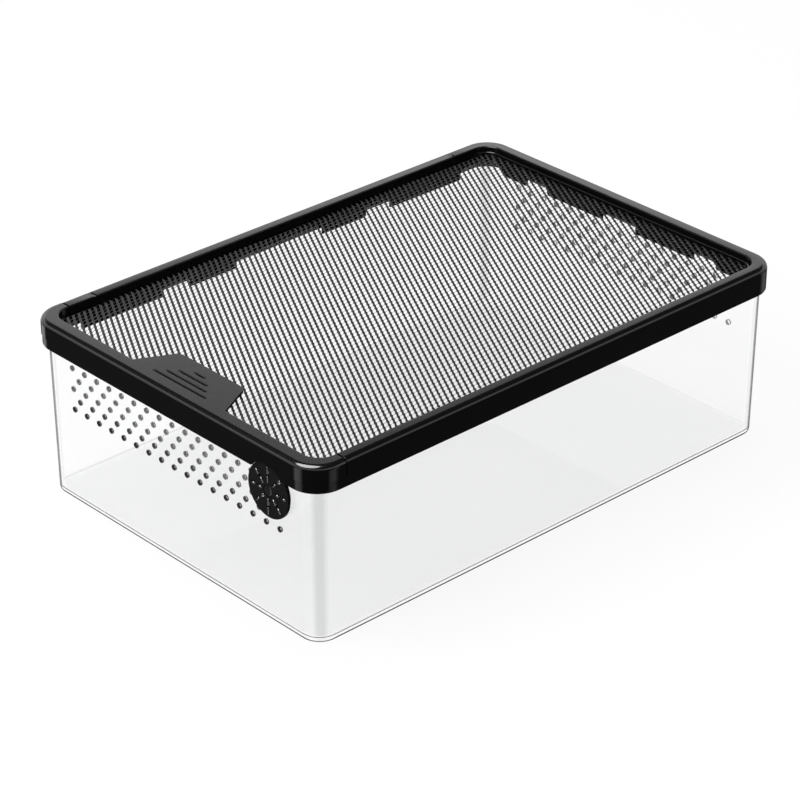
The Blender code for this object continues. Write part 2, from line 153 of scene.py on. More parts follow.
def arc(radius: float, start: float, stop: float, steps: int) -> list[Point]:
    """Return points on an arc about the origin.

    Args:
        radius: The arc's radius.
        start: First angle in degrees.
        stop: Last angle in degrees.
        steps: Number of chords.

    Returns:
        The points, first and last included.
    """
    turns = [radians(start + (stop - start) * step / steps) for step in range(steps + 1)]
    return [(radius * cos(turn), radius * sin(turn)) for turn in turns]


def shrunk(outline: Sequence[Point], distance: float) -> list[Point]:
    """Return an anticlockwise outline moved in.

    Args:
        outline: The outline's points.
        distance: How far each point moves, square to the line between its neighbours.

    Returns:
        The moved points.
    """
    moved = []
    for index, (x, y) in enumerate(outline):
        before, after = outline[index - 1], outline[(index + 1) % len(outline)]
        along = Vector((after[0] - before[0], after[1] - before[1])).normalized()
        moved.append((x - along.y * distance, y + along.x * distance))
    return moved


def loft(rings: Sequence[Sequence[Vector]], closed: bool = False) -> Form:
    """Skin a row of rings with equal counts.

    Args:
        rings: The rings in order.
        closed: True joins the last ring to the first, False caps both ends.

    Returns:
        The skinned form.
    """
    form = bmesh.new()
    made = [[form.verts.new(point) for point in ring] for ring in rings]
    pairs = list(zip(made, made[1:]))
    if closed:
        pairs.append((made[-1], made[0]))
    for lower, upper in pairs:
        for index in range(len(lower)):
            after = (index + 1) % len(lower)
            form.faces.new((lower[index], lower[after], upper[after], upper[index]))
    if not closed:
        form.faces.new(list(reversed(made[0])))
        form.faces.new(made[-1])
    return form


def flat_ring(outline: Iterable[Point], z: float) -> list[Vector]:
    """Return an outline as a ring at one height."""
    return [Vector((x, y, z)) for x, y in outline]


def prism(outline: Sequence[Point], low: float, high: float) -> Form:
    """Return an outline extruded between two heights."""
    return loft([flat_ring(outline, low), flat_ring(outline, high)])


def block(low: Sequence[float], high: Sequence[float]) -> Form:
    """Return a plain cutter between two corners."""
    outline = ((low[0], low[1]), (high[0], low[1]), (high[0], high[1]), (low[0], high[1]))
    return prism(outline, low[2], high[2])


def wedge(corners: Sequence[Point], low_y: float, high_y: float) -> Form:
    """Return x and z corners extruded between two places across the box."""
    return loft([[Vector((x, y, z)) for x, z in corners] for y in (low_y, high_y)])


def turned(section: Sequence[Point], sides: int, centre: Point) -> Form:
    """Turn a section about a line parallel to X.

    Args:
        section: Pairs of x and radius.
        sides: Number of facets round the line.
        centre: The line's y and z.

    Returns:
        The turned form, with flat ends.
    """
    rings = []
    for x, radius in section:
        circle = arc(radius, 0, 360 - 360 / sides, sides - 1)
        rings.append([Vector((x, centre[0] + across, centre[1] + up)) for across, up in circle])
    return loft(rings)


def gathered(forms: Iterable[Form]) -> Form:
    """Put several separate forms in one.

    Args:
        forms: The forms, which are used up.

    Returns:
        The one form.
    """
    whole = bmesh.new()
    carrier = bpy.data.meshes.new("carrier")
    for form in forms:
        bmesh.ops.recalc_face_normals(form, faces=form.faces)
        form.to_mesh(carrier)
        form.free()
        whole.from_mesh(carrier)
    bpy.data.meshes.remove(carrier)
    return whole


class Solid:
    """A closed solid that others cut, join or trim, until it is finished as a piece."""

    def __init__(self, name: str, form: Form | None = None) -> None:
        """Make the solid.

        Args:
            name: The piece's name.
            form: A form, which is used up, or nothing for an empty mesh.
        """
        mesh = bpy.data.meshes.new(name)
        if form is not None:
            bmesh.ops.recalc_face_normals(form, faces=form.faces)
            form.to_mesh(mesh)
            form.free()
        self.item: Object = bpy.data.objects.new(name, mesh)
        bpy.context.collection.objects.link(self.item)

    def settle(self) -> None:
        """Turn the modifiers' result into the plain mesh."""
        graph = bpy.context.evaluated_depsgraph_get()
        mesh = bpy.data.meshes.new_from_object(self.item.evaluated_get(graph))
        self.item.modifiers.clear()
        old = self.item.data
        self.item.data = mesh
        mesh.name = self.item.name
        bpy.data.meshes.remove(old)

    def apply(self, operation: Operation, form: "Form | Solid") -> "Solid":
        """Cut, join or trim with another form, which is used up.

        Args:
            operation: What the form does to the solid.
            form: A form or a solid.

        Returns:
            The solid itself.
        """
        other = form if isinstance(form, Solid) else Solid("tool", form)
        modifier = self.item.modifiers.new(operation.name, "BOOLEAN")
        modifier.operation = operation.value
        modifier.solver = "EXACT"
        modifier.object = other.item
        self.settle()
        bpy.data.objects.remove(other.item, do_unlink=True)
        return self

    def cleaned(self) -> Mesh:
        """Weld the mesh, drop slivers and turn its faces out.

        Returns:
            The solid's mesh.
        """
        form = bmesh.new()
        form.from_mesh(self.item.data)
        bmesh.ops.remove_doubles(form, verts=form.verts, dist=WELD)
        bmesh.ops.dissolve_degenerate(form, edges=form.edges, dist=WELD)
        bmesh.ops.recalc_face_normals(form, faces=form.faces)
        form.to_mesh(self.item.data)
        form.free()
        return self.item.data

    def finish(self, material: Material) -> Object:
        """Smooth the mesh's curved faces and give it its material.

        Args:
            material: The piece's material.

        Returns:
            The finished object.
        """
        mesh = self.cleaned()
        mesh.shade_smooth()
        mesh.set_sharp_from_angle(angle=radians(SHARP_ANGLE))
        modifier = self.item.modifiers.new("even_normals", "WEIGHTED_NORMAL")
        modifier.keep_sharp = True
        modifier.weight = AREA_WEIGHT
        self.settle()
        self.item.data.materials.clear()
        self.item.data.materials.append(material)
        return self.item


def place(item: Object, body: Body, slot: Slot, *nodes: str) -> None:
    """Put a finished piece on its body and report it.

    Args:
        item: The finished piece.
        body: The body that carries it.
        slot: The record's slot for its finish; not used.
        nodes: The frame's nodes that it stands for.
    """
    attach(item, body.value)
    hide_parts(*nodes)
    LOG.info("%s rides on %s: %d faces", item.name, body.value, len(item.data.polygons))


# Node trees


def opaque(colour: float | Colour) -> tuple[float, ...]:
    """Return a colour, or a grey given by its level, with full opacity."""
    return (*colour, 1.0) if isinstance(colour, tuple) else (colour,) * 3 + (1.0,)


def feed(tree: NodeTree, node: Node, inputs: dict[str, object]) -> None:
    """Set or link a node's sockets.

    Args:
        tree: The node's tree.
        node: The node.
        inputs: Values or sockets by socket name, with _ for a space, or by number as at0.
    """
    for key, value in inputs.items():
        by_number = key.startswith("at") and key[2:].isdigit()
        socket = node.inputs[int(key[2:])] if by_number else node.inputs[key.replace("_", " ")]
        if isinstance(value, Value):
            value = value.socket
        if isinstance(value, NodeSocket):
            tree.links.new(value, socket)
        else:
            socket.default_value = value


class Wiring:
    """A node tree under construction."""

    def __init__(self, tree: NodeTree) -> None:
        """Take the tree that nodes are added to."""
        self.tree = tree

    def node(self, kind: str, settings: dict[str, object] | None = None, **inputs: object) -> Node:
        """Add a node, set it and feed its sockets.

        Args:
            kind: The node's type.
            settings: Its properties, and a ramp's stops as pairs of place and grey.
            inputs: Values or sockets by socket name, with _ for a space, or by number as at0.

        Returns:
            The node.
        """
        made = self.tree.nodes.new(kind)
        for key, value in (settings or {}).items():
            if key == "stops":
                stops = made.color_ramp.elements
                while len(stops) < len(value):
                    stops.new(1.0)
                for stop, (position, grey) in zip(stops, value):
                    stop.position = position
                    stop.color = opaque(grey)
            else:
                setattr(made, key, value)
        feed(self.tree, made, inputs)
        return made

    def maths(self, operation: str, first: object, second: object = 0.0) -> "Value":
        """Return the result of a Math node."""
        made = self.node("ShaderNodeMath", {"operation": operation}, at0=first, at1=second)
        return Value(self, made.outputs[0])

    def vector(self, **parts: object) -> NodeSocket:
        """Return a vector made of X, Y and Z parts."""
        return self.node("ShaderNodeCombineXYZ", **parts).outputs[0]

    def ramp(self, at: "Value | NodeSocket", stops: Sequence[Point]) -> "Value":
        """Return a grey that follows stops, each a place and a grey."""
        return Value(self, self.node("ShaderNodeValToRGB", {"stops": stops}, Fac=at).outputs[0])

    def parts(self, source: NodeSocket) -> tuple["Value", "Value", "Value"]:
        """Return the X, Y and Z parts of a vector."""
        split = self.node("ShaderNodeSeparateXYZ", Vector=source)
        return tuple(Value(self, output) for output in split.outputs)


def both_ways(operation: str) -> tuple[Callable[["Value", object], "Value"], ...]:
    """Make an operator's method and its reflected form.

    Args:
        operation: The Math node's operation.

    Returns:
        The method with the value on the left, and the one with it on the right.
    """

    def on_left(value: "Value", other: object) -> "Value":
        """Return the result with the value first."""
        return value.wiring.maths(operation, value, other)

    def on_right(value: "Value", other: object) -> "Value":
        """Return the result with the value second."""
        return value.wiring.maths(operation, other, value)

    return on_left, on_right


class Value:
    """A socket that can be written in sums and compared."""

    def __init__(self, wiring: Wiring, socket: NodeSocket) -> None:
        """Wrap a socket.

        Args:
            wiring: The tree under construction.
            socket: The socket that gives the value.
        """
        self.wiring = wiring
        self.socket = socket

    __add__, __radd__ = both_ways("ADD")
    __sub__, __rsub__ = both_ways("SUBTRACT")
    __mul__, __rmul__ = both_ways("MULTIPLY")
    __truediv__, __rtruediv__ = both_ways("DIVIDE")
    __mod__, __rmod__ = both_ways("MODULO")
    __pow__, __rpow__ = both_ways("POWER")
    __gt__, __lt__ = both_ways("GREATER_THAN")

    def __abs__(self) -> "Value":
        """Return the value without its sign."""
        return self.wiring.maths("ABSOLUTE", self)

    def floor(self) -> "Value":
        """Return the whole part."""
        return self.wiring.maths("FLOOR", self)

    def larger(self, other: object) -> "Value":
        """Return the larger of two."""
        return self.wiring.maths("MAXIMUM", self, other)

    def clamped(self) -> "Value":
        """Return the value held between 0 and 1."""
        return self.wiring.maths("MINIMUM", self, 1.0).larger(0.0)


class Tree(Wiring):
    """A Geometry Nodes tree with named inputs, run once on a piece."""

    def __init__(self, name: str) -> None:
        """Start a tree with a geometry output.

        Args:
            name: The tree's name.
        """
        super().__init__(bpy.data.node_groups.new(name, "GeometryNodeTree"))
        self.tree.interface.new_socket("Geometry", in_out="OUTPUT", socket_type="NodeSocketGeometry")
        self.entry: Node = self.node("NodeGroupInput")
        self.exit: Node = self.node("NodeGroupOutput")
        self.values: dict[str, object] = {}

    def size(self, name: str, value: float | int | Material) -> Value:
        """Add a named input and note its value.

        Args:
            name: The input's name.
            value: A length, a count or a material.

        Returns:
            The value inside the tree.
        """
        kinds = {float: "NodeSocketFloat", int: "NodeSocketInt"}
        kind = kinds.get(type(value), "NodeSocketMaterial")
        socket = self.tree.interface.new_socket(name, in_out="INPUT", socket_type=kind)
        self.values[socket.identifier] = value
        return Value(self, self.entry.outputs[name])

    def geometry(self, kind: str, settings: dict[str, object] | None = None, **inputs: object) -> NodeSocket:
        """Return the geometry that a Geometry node gives first."""
        return self.node("GeometryNode" + kind, settings, **inputs).outputs[0]

    def end(self, geometry: NodeSocket, material: Value) -> None:
        """Close the tree with Realize Instances and Set Material.

        Args:
            geometry: What the tree makes.
            material: The input that holds its material.
        """
        real = self.geometry("RealizeInstances", Geometry=geometry)
        dressed = self.geometry("SetMaterial", Geometry=real, Material=material)
        self.tree.links.new(dressed, self.exit.inputs[0])

    def run(self, name: str) -> Solid:
        """Run the tree on a new piece and keep its result as a plain mesh.

        Args:
            name: The piece's name.

        Returns:
            The solid that the tree makes.
        """
        made = Solid(name)
        modifier = made.item.modifiers.new(self.tree.name, "NODES")
        modifier.node_group = self.tree
        for identifier, value in self.values.items():
            modifier[identifier] = value
        made.settle()
        return made


class Paint(Wiring):
    """A material under construction."""

    def __init__(self, name: str) -> None:
        """Start a material with its Principled shader.

        Args:
            name: The material's name.
        """
        self.material: Material = bpy.data.materials.new(name)
        self.material.use_nodes = True
        super().__init__(self.material.node_tree)
        self.shader: Node = self.tree.nodes["Principled BSDF"]

    def coordinate(self, which: str = "Object") -> NodeSocket:
        """Return one output of Texture Coordinate."""
        return self.node("ShaderNodeTexCoord").outputs[which]

    def noise(self, per_metre: float, detail: float) -> Value:
        """Return a noise pattern on Object coordinates, about 0.5 on average."""
        made = self.node("ShaderNodeTexNoise", Vector=self.coordinate(), Scale=per_metre, Detail=detail)
        return Value(self, made.outputs[0])

    def facing(self) -> Value:
        """Return 0 where the surface faces the eye and 1 at its rim."""
        return Value(self, self.node("ShaderNodeLayerWeight", Blend=0.5).outputs["Facing"])

    def mix(self, share: Value, *ends: float | Colour | NodeSocket) -> NodeSocket:
        """Return a colour between two.

        Args:
            share: 0 for the first end, 1 for the second.
            ends: Two colours, greys or sockets.

        Returns:
            The mixed colour.
        """
        low, high = (end if isinstance(end, NodeSocket) else opaque(end) for end in ends)
        made = self.node("ShaderNodeMix", {"data_type": "RGBA"}, at0=share, at6=low, at7=high)
        return made.outputs[2]

    def clouded(self, share: Value, grey: float, spread: Point) -> NodeSocket:
        """Return a grey that a pattern moves between two shares of itself."""
        return self.mix(share, *(grey * part for part in spread))

    def bump(self, height: Value, depth: float) -> NodeSocket:
        """Return a normal that follows a height pattern.

        Args:
            height: The pattern.
            depth: What 1 in the pattern stands for, in metres.

        Returns:
            The bumped normal.
        """
        return self.node("ShaderNodeBump", Strength=1.0, Distance=depth, Height=height).outputs[0]

    def rays(self, *kinds: str) -> Value:
        """Tell some kinds of ray from the others.

        Args:
            kinds: Names of Light Path's outputs.

        Returns:
            1 for rays of any of these kinds.
        """
        path = self.node("ShaderNodeLightPath")
        total = Value(self, path.outputs[kinds[0]])
        for kind in kinds[1:]:
            total = total.larger(Value(self, path.outputs[kind]))
        return total

    def set(self, **inputs: object) -> None:
        """Set or link the Principled shader's sockets."""
        feed(self.tree, self.shader, inputs)

    def blend(self, share: Value, other: NodeSocket) -> None:
        """Show another shader in place of the Principled one, by a share."""
        chosen = self.node("ShaderNodeMixShader", at0=share, at1=self.shader.outputs[0], at2=other)
        self.tree.links.new(chosen.outputs[0], self.tree.nodes["Material Output"].inputs["Surface"])


# Finishes


@dataclass(frozen=True)
class ClearPlastic:
    """Clear polished moulding with painted light: painted shade on the dial's seat, a painted dark outline on
    rounded outer edges seen edge on, painted light and dark bands round the upright corners, and painted
    shade on the floor.
    """

    seat_centre: Point
    seat_radius: float
    seat_x: float = -0.1540
    tint: Colour = (0.998, 1.0, 0.999)
    # Painted shade on the tub's flat floor, standing in for the lid's and the mesh's shadow.
    painted_floor_shade: Colour = (0.93, 0.935, 0.935)
    # Painted light and shade: grey and clear bands round the upright corners, chosen by the normal's Y part.
    painted_band_grey: Colour = (0.80, 0.805, 0.805)
    painted_bands: tuple[Point, ...] = (
        (0.05, 0.90),
        (0.20, 1.0),
        (0.50, 1.0),
        (0.70, 0.0),
        (0.85, 0.0),
        (0.97, 0.93),
    )
    # Painted shade: the dark colour of the outline on rounded outer edges seen edge on, and of the dial's
    # seat.
    painted_outline_colour: Colour = (0.08, 0.082, 0.082)
    edge_from: float = 0.56
    edge_over: float = 0.10
    lower_from: float = 0.40
    lower_least: float = 0.06
    upright_share: float = 0.68
    flat_from: float = 0.992
    gleam: float = 0.2
    passed: float = 0.92
    roughness: float = 0.01
    haze: float = 0.02
    index: float = 1.49
    cloud: Point = (60.0, 3.0)
    wave: Point = (9.0, 2.0)
    wave_depth: float = 0.0004

    def material(self) -> Material:
        """Make the finish, which lets lamps through to what is behind it.

        Returns:
            The material.
        """
        paint = Paint("clear_moulding")
        cloud = paint.noise(*self.cloud)
        ahead, aside, up = paint.parts(paint.coordinate("Normal"))
        # Painted bands of light and shade round the upright corners, by the normal's Y part.
        body = paint.mix(paint.ramp(abs(aside), self.painted_bands), self.painted_band_grey, self.tint)
        # Painted shade on flat floor faces.
        body = paint.mix(abs(up) > self.flat_from, body, self.painted_floor_shade)
        # Painted shade on the dial's seat, behind the dial, in the outline's dark colour.
        x, y, z = paint.parts(paint.coordinate())
        from_dial = ((y - self.seat_centre[0]) ** 2.0 + (z - self.seat_centre[1]) ** 2.0) ** 0.5
        seat = (from_dial < self.seat_radius) * (x < self.seat_x)
        # Painted dark outline: rounded outer edges darken where seen edge on, more on the lower edges.
        rounded = abs(ahead).larger(abs(aside)).larger(abs(up)) < self.flat_from
        outside = ((ahead * x + aside * y) > 0.0) * rounded
        lower = up < -self.lower_least
        start = self.edge_from - lower * (self.edge_from - self.lower_from)
        depth = self.upright_share + lower * (1.0 - self.upright_share)
        painted_shade_share = (((paint.facing() - start) / self.edge_over).clamped() * outside * depth).larger(seat)
        paint.set(
            # The painted shade darkens the colour and, through Metallic, dims the reflection too: a painted
            # reflection.
            Base_Color=paint.mix(painted_shade_share, body, self.painted_outline_colour),
            Metallic=painted_shade_share,
            Roughness=self.roughness + cloud * self.haze,
            Normal=paint.bump(paint.noise(*self.wave), self.wave_depth),
            IOR=self.index,
            Specular_Tint=opaque(self.gleam),
            Transmission_Weight=1.0,
        )
        through = paint.node("ShaderNodeBsdfTransparent", Color=opaque(self.passed))
        paint.blend(paint.rays("Is Shadow Ray", "Is Diffuse Ray"), through.outputs[0])
        return paint.material


@dataclass(frozen=True)
class PunchedWall:
    """Frosted walls of the vent holes, greyed with painted shade that is darker in the low rows of the front
    end and paler at the far end.
    """

    low: float
    rise: float
    # Painted shade: greys of the front end's hole walls by row, darkest in the lowest.
    stops: tuple[Point, ...] = ((0.0, 0.05), (0.33, 0.13), (0.67, 0.32), (1.0, 0.34))
    rows: float = 3.0
    far_painted_grey: float = 0.42
    least_shade: float = 0.9
    shade: float = 0.2
    roughness: float = 0.45
    haze: float = 0.1
    shine: float = 0.2
    cloud: Point = (900.0, 2.0)

    def material(self) -> Material:
        """Make the finish.

        Returns:
            The material.
        """
        paint = Paint("punched_wall")
        cloud = paint.noise(*self.cloud)
        along, _, high = paint.parts(paint.coordinate())
        # Painted shade by row at the front end, and an even paler grey at the far end.
        near = paint.ramp(((high - self.low) / (self.rise * self.rows)).clamped(), self.stops)
        far = (along > 0.0) * self.far_painted_grey
        paint.set(
            Base_Color=near.larger(far) * (self.least_shade + cloud * self.shade),
            Roughness=self.roughness + cloud * self.haze,
            Specular_IOR_Level=self.shine,
        )
        return paint.material


@dataclass(frozen=True)
class BlackMoulding:
    """Black plastic with painted highlights: a glossy coat on its top and in two bands of its corners, left
    off its skirt so that the skirt shows painted shade.
    """

    name: str
    colour: float = 0.0032
    roughness: float = 0.34
    shine: float = 0.007
    # Painted sheen: strength, start, spread and roughness of the coat that stands in for highlights.
    painted_sheen: float = 1.0
    painted_sheen_from: float = 0.30
    painted_sheen_over: float = 0.14
    painted_sheen_roughness: float = 0.14
    # Painted highlight bands round the corners, by the normal's Y part.
    painted_bands: tuple[Point, ...] = (
        (0.07, 0.0),
        (0.17, 1.0),
        (0.30, 0.9),
        (0.40, 0.0),
        (0.92, 0.0),
        (0.955, 0.45),
        (0.985, 0.45),
        (0.999, 0.0),
    )
    corner_least: float = 0.03
    spread: Point = (0.8, 1.2)
    haze: float = 0.06
    least_gloss: float = 0.95
    gloss: float = 0.10
    index: float = 1.5
    cloud: Point = (22.0, 3.0)
    grain: Point = (2400.0, 2.0)
    grain_depth: float = 0.000004

    def material(self) -> Material:
        """Make the finish.

        Returns:
            The material.
        """
        paint = Paint(self.name)
        cloud = paint.noise(*self.cloud)
        ahead, across, up = paint.parts(paint.coordinate("Normal"))
        # Painted sheen by the normal: a coat on upward faces and in two corner bands stands in for
        # highlights; the skirt gets none and stays dark, a painted shade.
        top_sheen = ((up - self.painted_sheen_from) / self.painted_sheen_over).clamped()
        corner = (abs(up) < self.painted_sheen_from) * (abs(ahead) > self.corner_least)
        lit = top_sheen.larger(paint.ramp(abs(across), self.painted_bands) * corner)
        paint.set(
            Base_Color=paint.clouded(cloud, self.colour, self.spread),
            Roughness=self.roughness + cloud * self.haze,
            Specular_IOR_Level=self.shine,
            Coat_Weight=lit * self.painted_sheen * (self.least_gloss + cloud * self.gloss),
            Coat_Roughness=self.painted_sheen_roughness,
            Coat_IOR=self.index,
            Normal=paint.bump(paint.noise(*self.grain), self.grain_depth),
        )
        return paint.material


@dataclass(frozen=True)
class CoatedSteel:
    """Black powder coat on expanded steel."""

    colour: float = 0.027
    roughness: float = 0.36
    shine: float = 0.70
    spread: Point = (0.8, 1.3)
    haze: float = 0.10
    cloud: Point = (45.0, 2.0)
    peel: Point = (1500.0, 2.0)
    peel_depth: float = 0.00002

    def material(self) -> Material:
        """Make the finish.

        Returns:
            The material.
        """
        paint = Paint("powder_coat")
        peel = paint.noise(*self.peel)
        paint.set(
            Base_Color=paint.clouded(paint.noise(*self.cloud), self.colour, self.spread),
            Roughness=self.roughness + peel * self.haze,
            Specular_IOR_Level=self.shine,
            Normal=paint.bump(peel, self.peel_depth),
        )
        return paint.material


@dataclass(frozen=True)
class SatinPlastic:
    """Black satin moulding of the dial, its ribs and its pivot, with an optional painted sheen on the sides
    that face -Y.
    """

    name: str
    colour: float = 0.0045
    roughness: float = 0.32
    shine: float = 0.02
    painted_sheen: float = 0.0
    painted_sheen_from: float = 0.10
    painted_sheen_roughness: float = 0.12
    spread: Point = (0.8, 1.25)
    haze: float = 0.08
    index: float = 1.9
    cloud: Point = (160.0, 2.0)
    grain: Point = (1800.0, 2.0)
    grain_depth: float = 0.000006

    def material(self) -> Material:
        """Make the finish, with a painted sheen as a coat on the sides that face -Y.

        Returns:
            The material.
        """
        paint = Paint(self.name)
        cloud = paint.noise(*self.cloud)
        # Painted sheen: a coat only on sides that face -Y, standing in for glints on the ribs and the rivet.
        near = 0.0 - paint.parts(paint.coordinate("Normal"))[1]
        paint.set(
            Base_Color=paint.clouded(cloud, self.colour, self.spread),
            Roughness=self.roughness + cloud * self.haze,
            Specular_IOR_Level=self.shine,
            Coat_Weight=((near - self.painted_sheen_from) / self.painted_sheen_from).clamped() * self.painted_sheen,
            Coat_Roughness=self.painted_sheen_roughness,
            Coat_IOR=self.index,
            Normal=paint.bump(paint.noise(*self.grain), self.grain_depth),
        )
        return paint.material


# Sub-assemblies


@dataclass(frozen=True)
class LidOutline:
    """The lid's outer size, from the frame, which the tub and the panel follow."""

    half_length: float
    half_width: float
    height: float
    corner: float = 0.0157

    def inset(self, distance: float) -> RoundedRectangle:
        """Return the lid's outline moved in by a distance."""
        whole = RoundedRectangle(-self.half_length, self.half_length, self.half_width, self.corner)
        return whole.inset(distance)

    def rings(self, section: Sequence[Point]) -> list[list[Vector]]:
        """Return the rings that pairs of inset and height give round the outline."""
        return [flat_ring(self.inset(inset).points(), z) for inset, z in section]


def soft_edge(radius: float, inset: float, top: float, steps: int = 12) -> list[Point]:
    """Return inset and height pairs of a rounded outer top edge.

    Args:
        radius: The edge's radius.
        inset: The side's inset.
        top: The top's height.
        steps: Number of chords.

    Returns:
        The pairs from the side up to the top.
    """
    return [(inset + radius - across, top - radius + up) for across, up in arc(radius, 0, 90, steps)]


def seam_bevel(lid: LidOutline, low: float, x: float, size: float, fillet: float) -> Form:
    """Return the cutter that bevels the rim's edge at a seam.

    Args:
        lid: The lid's outline.
        low: The seam's lower end.
        x: Where the beveled edge stands.
        size: The bevel's size along X, negative towards -X.
        fillet: The radius of the rim's outer edge.

    Returns:
        The cutter, which follows the rim's sides and top.
    """
    depth, spare = abs(size), abs(size) / 2
    towards = size / depth
    sides = []
    for offset in (depth + spare, -spare):
        edge = soft_edge(fillet - offset, offset, lid.height - offset)
        sides.append([(offset, low)] + edge)
    rings = []
    for (deep, deep_z), (out, out_z) in zip(*sides):
        near_x, far_x = x - towards * spare, x + towards * (depth + spare)
        rings.append([
            Vector((near_x, lid.half_width - deep, deep_z)),
            Vector((near_x, lid.half_width - out, out_z)),
            Vector((far_x, lid.half_width - out, out_z)),
        ])
    mirrored = [[Vector((point.x, -point.y, point.z)) for point in ring] for ring in reversed(rings)]
    return loft(rings + mirrored)


@dataclass
class Tub:
    """The clear tub, its vent holes and the seat of its dial."""

    lid: LidOutline
    rim_height: float
    rim_inset: float = 0.0031
    draft: float = 0.0012
    wall: float = 0.0018
    floor: float = 0.0020
    edge: float = 0.0024
    edge_steps: int = 8
    rim_round: float = 0.0003
    hole_radius: float = 0.0016
    hole_sides: int = 20
    hole_pitch: float = 0.010
    row_pitch: float = 0.0060
    low_row: float = 0.0560
    rows: int = 5
    long_row: int = 17
    dial_centre: Point = (-0.0750, 0.0763)
    seat_radius: float = 0.0132
    seat_proud: float = 0.0002
    seat_sides: int = 64
    hole_normal: float = 0.5

    def inset(self, z: float) -> float:
        """Return the wall's outer inset at a height."""
        return self.rim_inset + self.draft * (1 - z / self.rim_height)

    def wall_x(self, z: float) -> float:
        """Return how far out an end wall's outer face stands at a height."""
        return self.lid.half_length - self.inset(z)

    def seat_x(self) -> float:
        """Return the x of the seat's face."""
        return -self.wall_x(self.dial_centre[1] + self.seat_radius) - self.seat_proud

    def shell(self) -> Solid:
        """Make the tub's wall and floor.

        Returns:
            The tub without its holes.
        """
        outside, inside = [], []
        for across, down in arc(self.edge, 0, 90, self.edge_steps):
            z = self.edge - down
            outside.insert(0, (self.inset(z) + self.edge - across, z))
            z += self.floor
            inside.append((self.inset(z) + self.wall + self.edge - across, z))
        top = self.rim_height - self.rim_round
        rim = [
            (self.inset(top), top),
            (self.rim_inset + self.rim_round, self.rim_height),
            (self.rim_inset + self.wall - self.rim_round, self.rim_height),
            (self.inset(top) + self.wall, top),
        ]
        return Solid("tub_moulding", loft(self.lid.rings(outside + rim + inside)))

    def hole_cutter(self, end: int, material: Material) -> Solid:
        """Return the cutter of one end wall's staggered holes.

        Args:
            end: 1 for the end at +X, -1 for the one at -X.
            material: The material of the holes' walls.

        Returns:
            The cutter, one small drum for each hole.
        """
        tree = Tree("vent_holes")
        pitch = tree.size("Pitch", self.hole_pitch)
        rise = tree.size("Row Pitch", self.row_pitch)
        columns = tree.size("Long Row", self.long_row)
        rows = tree.size("Rows", self.rows)
        radius = tree.size("Hole Radius", self.hole_radius)
        depth = tree.size("Depth", self.wall + 2 * OVERCUT)
        across = tree.size("Wall X", end * (self.wall_x(self.low_row) - self.wall / 2))
        low = tree.size("Low Row Z", self.low_row)
        clear = tree.size("Dial Clearance", self.seat_radius + self.hole_radius if end < 0 else 0.0)
        dial_y = tree.size("Dial Y", self.dial_centre[0])
        dial_z = tree.size("Dial Z", self.dial_centre[1])

        index = Value(tree, tree.node("GeometryNodeInputIndex").outputs[0])
        row = ((index + 0.5) / columns).floor()
        column = index - row * columns
        odd = row % 2.0
        y = (column - (columns - 1.0) / 2.0 + odd / 2.0) * pitch
        z = low + row * rise
        past_end = column + odd > columns - 0.5
        from_dial = ((y - dial_y) ** 2.0 + (z - dial_z) ** 2.0) ** 0.5
        line = tree.geometry("MeshLine", Count=rows * columns)
        spots = tree.geometry("SetPosition", Geometry=line, Position=tree.vector(X=across, Y=y, Z=z))
        unwanted = past_end.larger(from_dial < clear)
        kept = tree.geometry("DeleteGeometry", {"domain": "POINT"}, Geometry=spots, Selection=unwanted)
        drum = tree.geometry("MeshCylinder", Vertices=self.hole_sides, Radius=radius, Depth=depth)
        holes = tree.geometry("InstanceOnPoints", Points=kept, Instance=drum, Rotation=(0.0, pi / 2, 0.0))
        tree.end(holes, tree.size("Material", material))
        return tree.run("hole_cutter")

    def build(self, slots: Form, material: Material, punched: Material) -> Object:
        """Build the tub.

        Args:
            slots: The cutter of the slots behind the dial.
            material: The clear finish.
            punched: The finish of the holes' walls, whose greys are painted shade.

        Returns:
            The finished tub.
        """
        shell = self.shell()
        inner = -self.wall_x(self.dial_centre[1]) + self.wall / 2
        seat = ((self.seat_x(), self.seat_radius), (inner, self.seat_radius))
        shell.apply(Operation.JOIN, turned(seat, self.seat_sides, self.dial_centre))
        for end in (1, -1):
            shell.apply(Operation.CUT, self.hole_cutter(end, material))
        shell.apply(Operation.CUT, slots)
        item = shell.finish(material)
        item.data.materials.append(punched)
        least_x = self.wall_x(0.0) - self.wall
        most_y = (self.long_row - 1) / 2 * self.hole_pitch + 2 * self.hole_radius
        # The hole walls at both ends take the painted-shade finish.
        for face in item.data.polygons:
            x, y, z = face.center
            if abs(x) > least_x and abs(y) < most_y and z > self.low_row - self.row_pitch:
                face.material_index = int(abs(face.normal.x) < self.hole_normal)
        return item


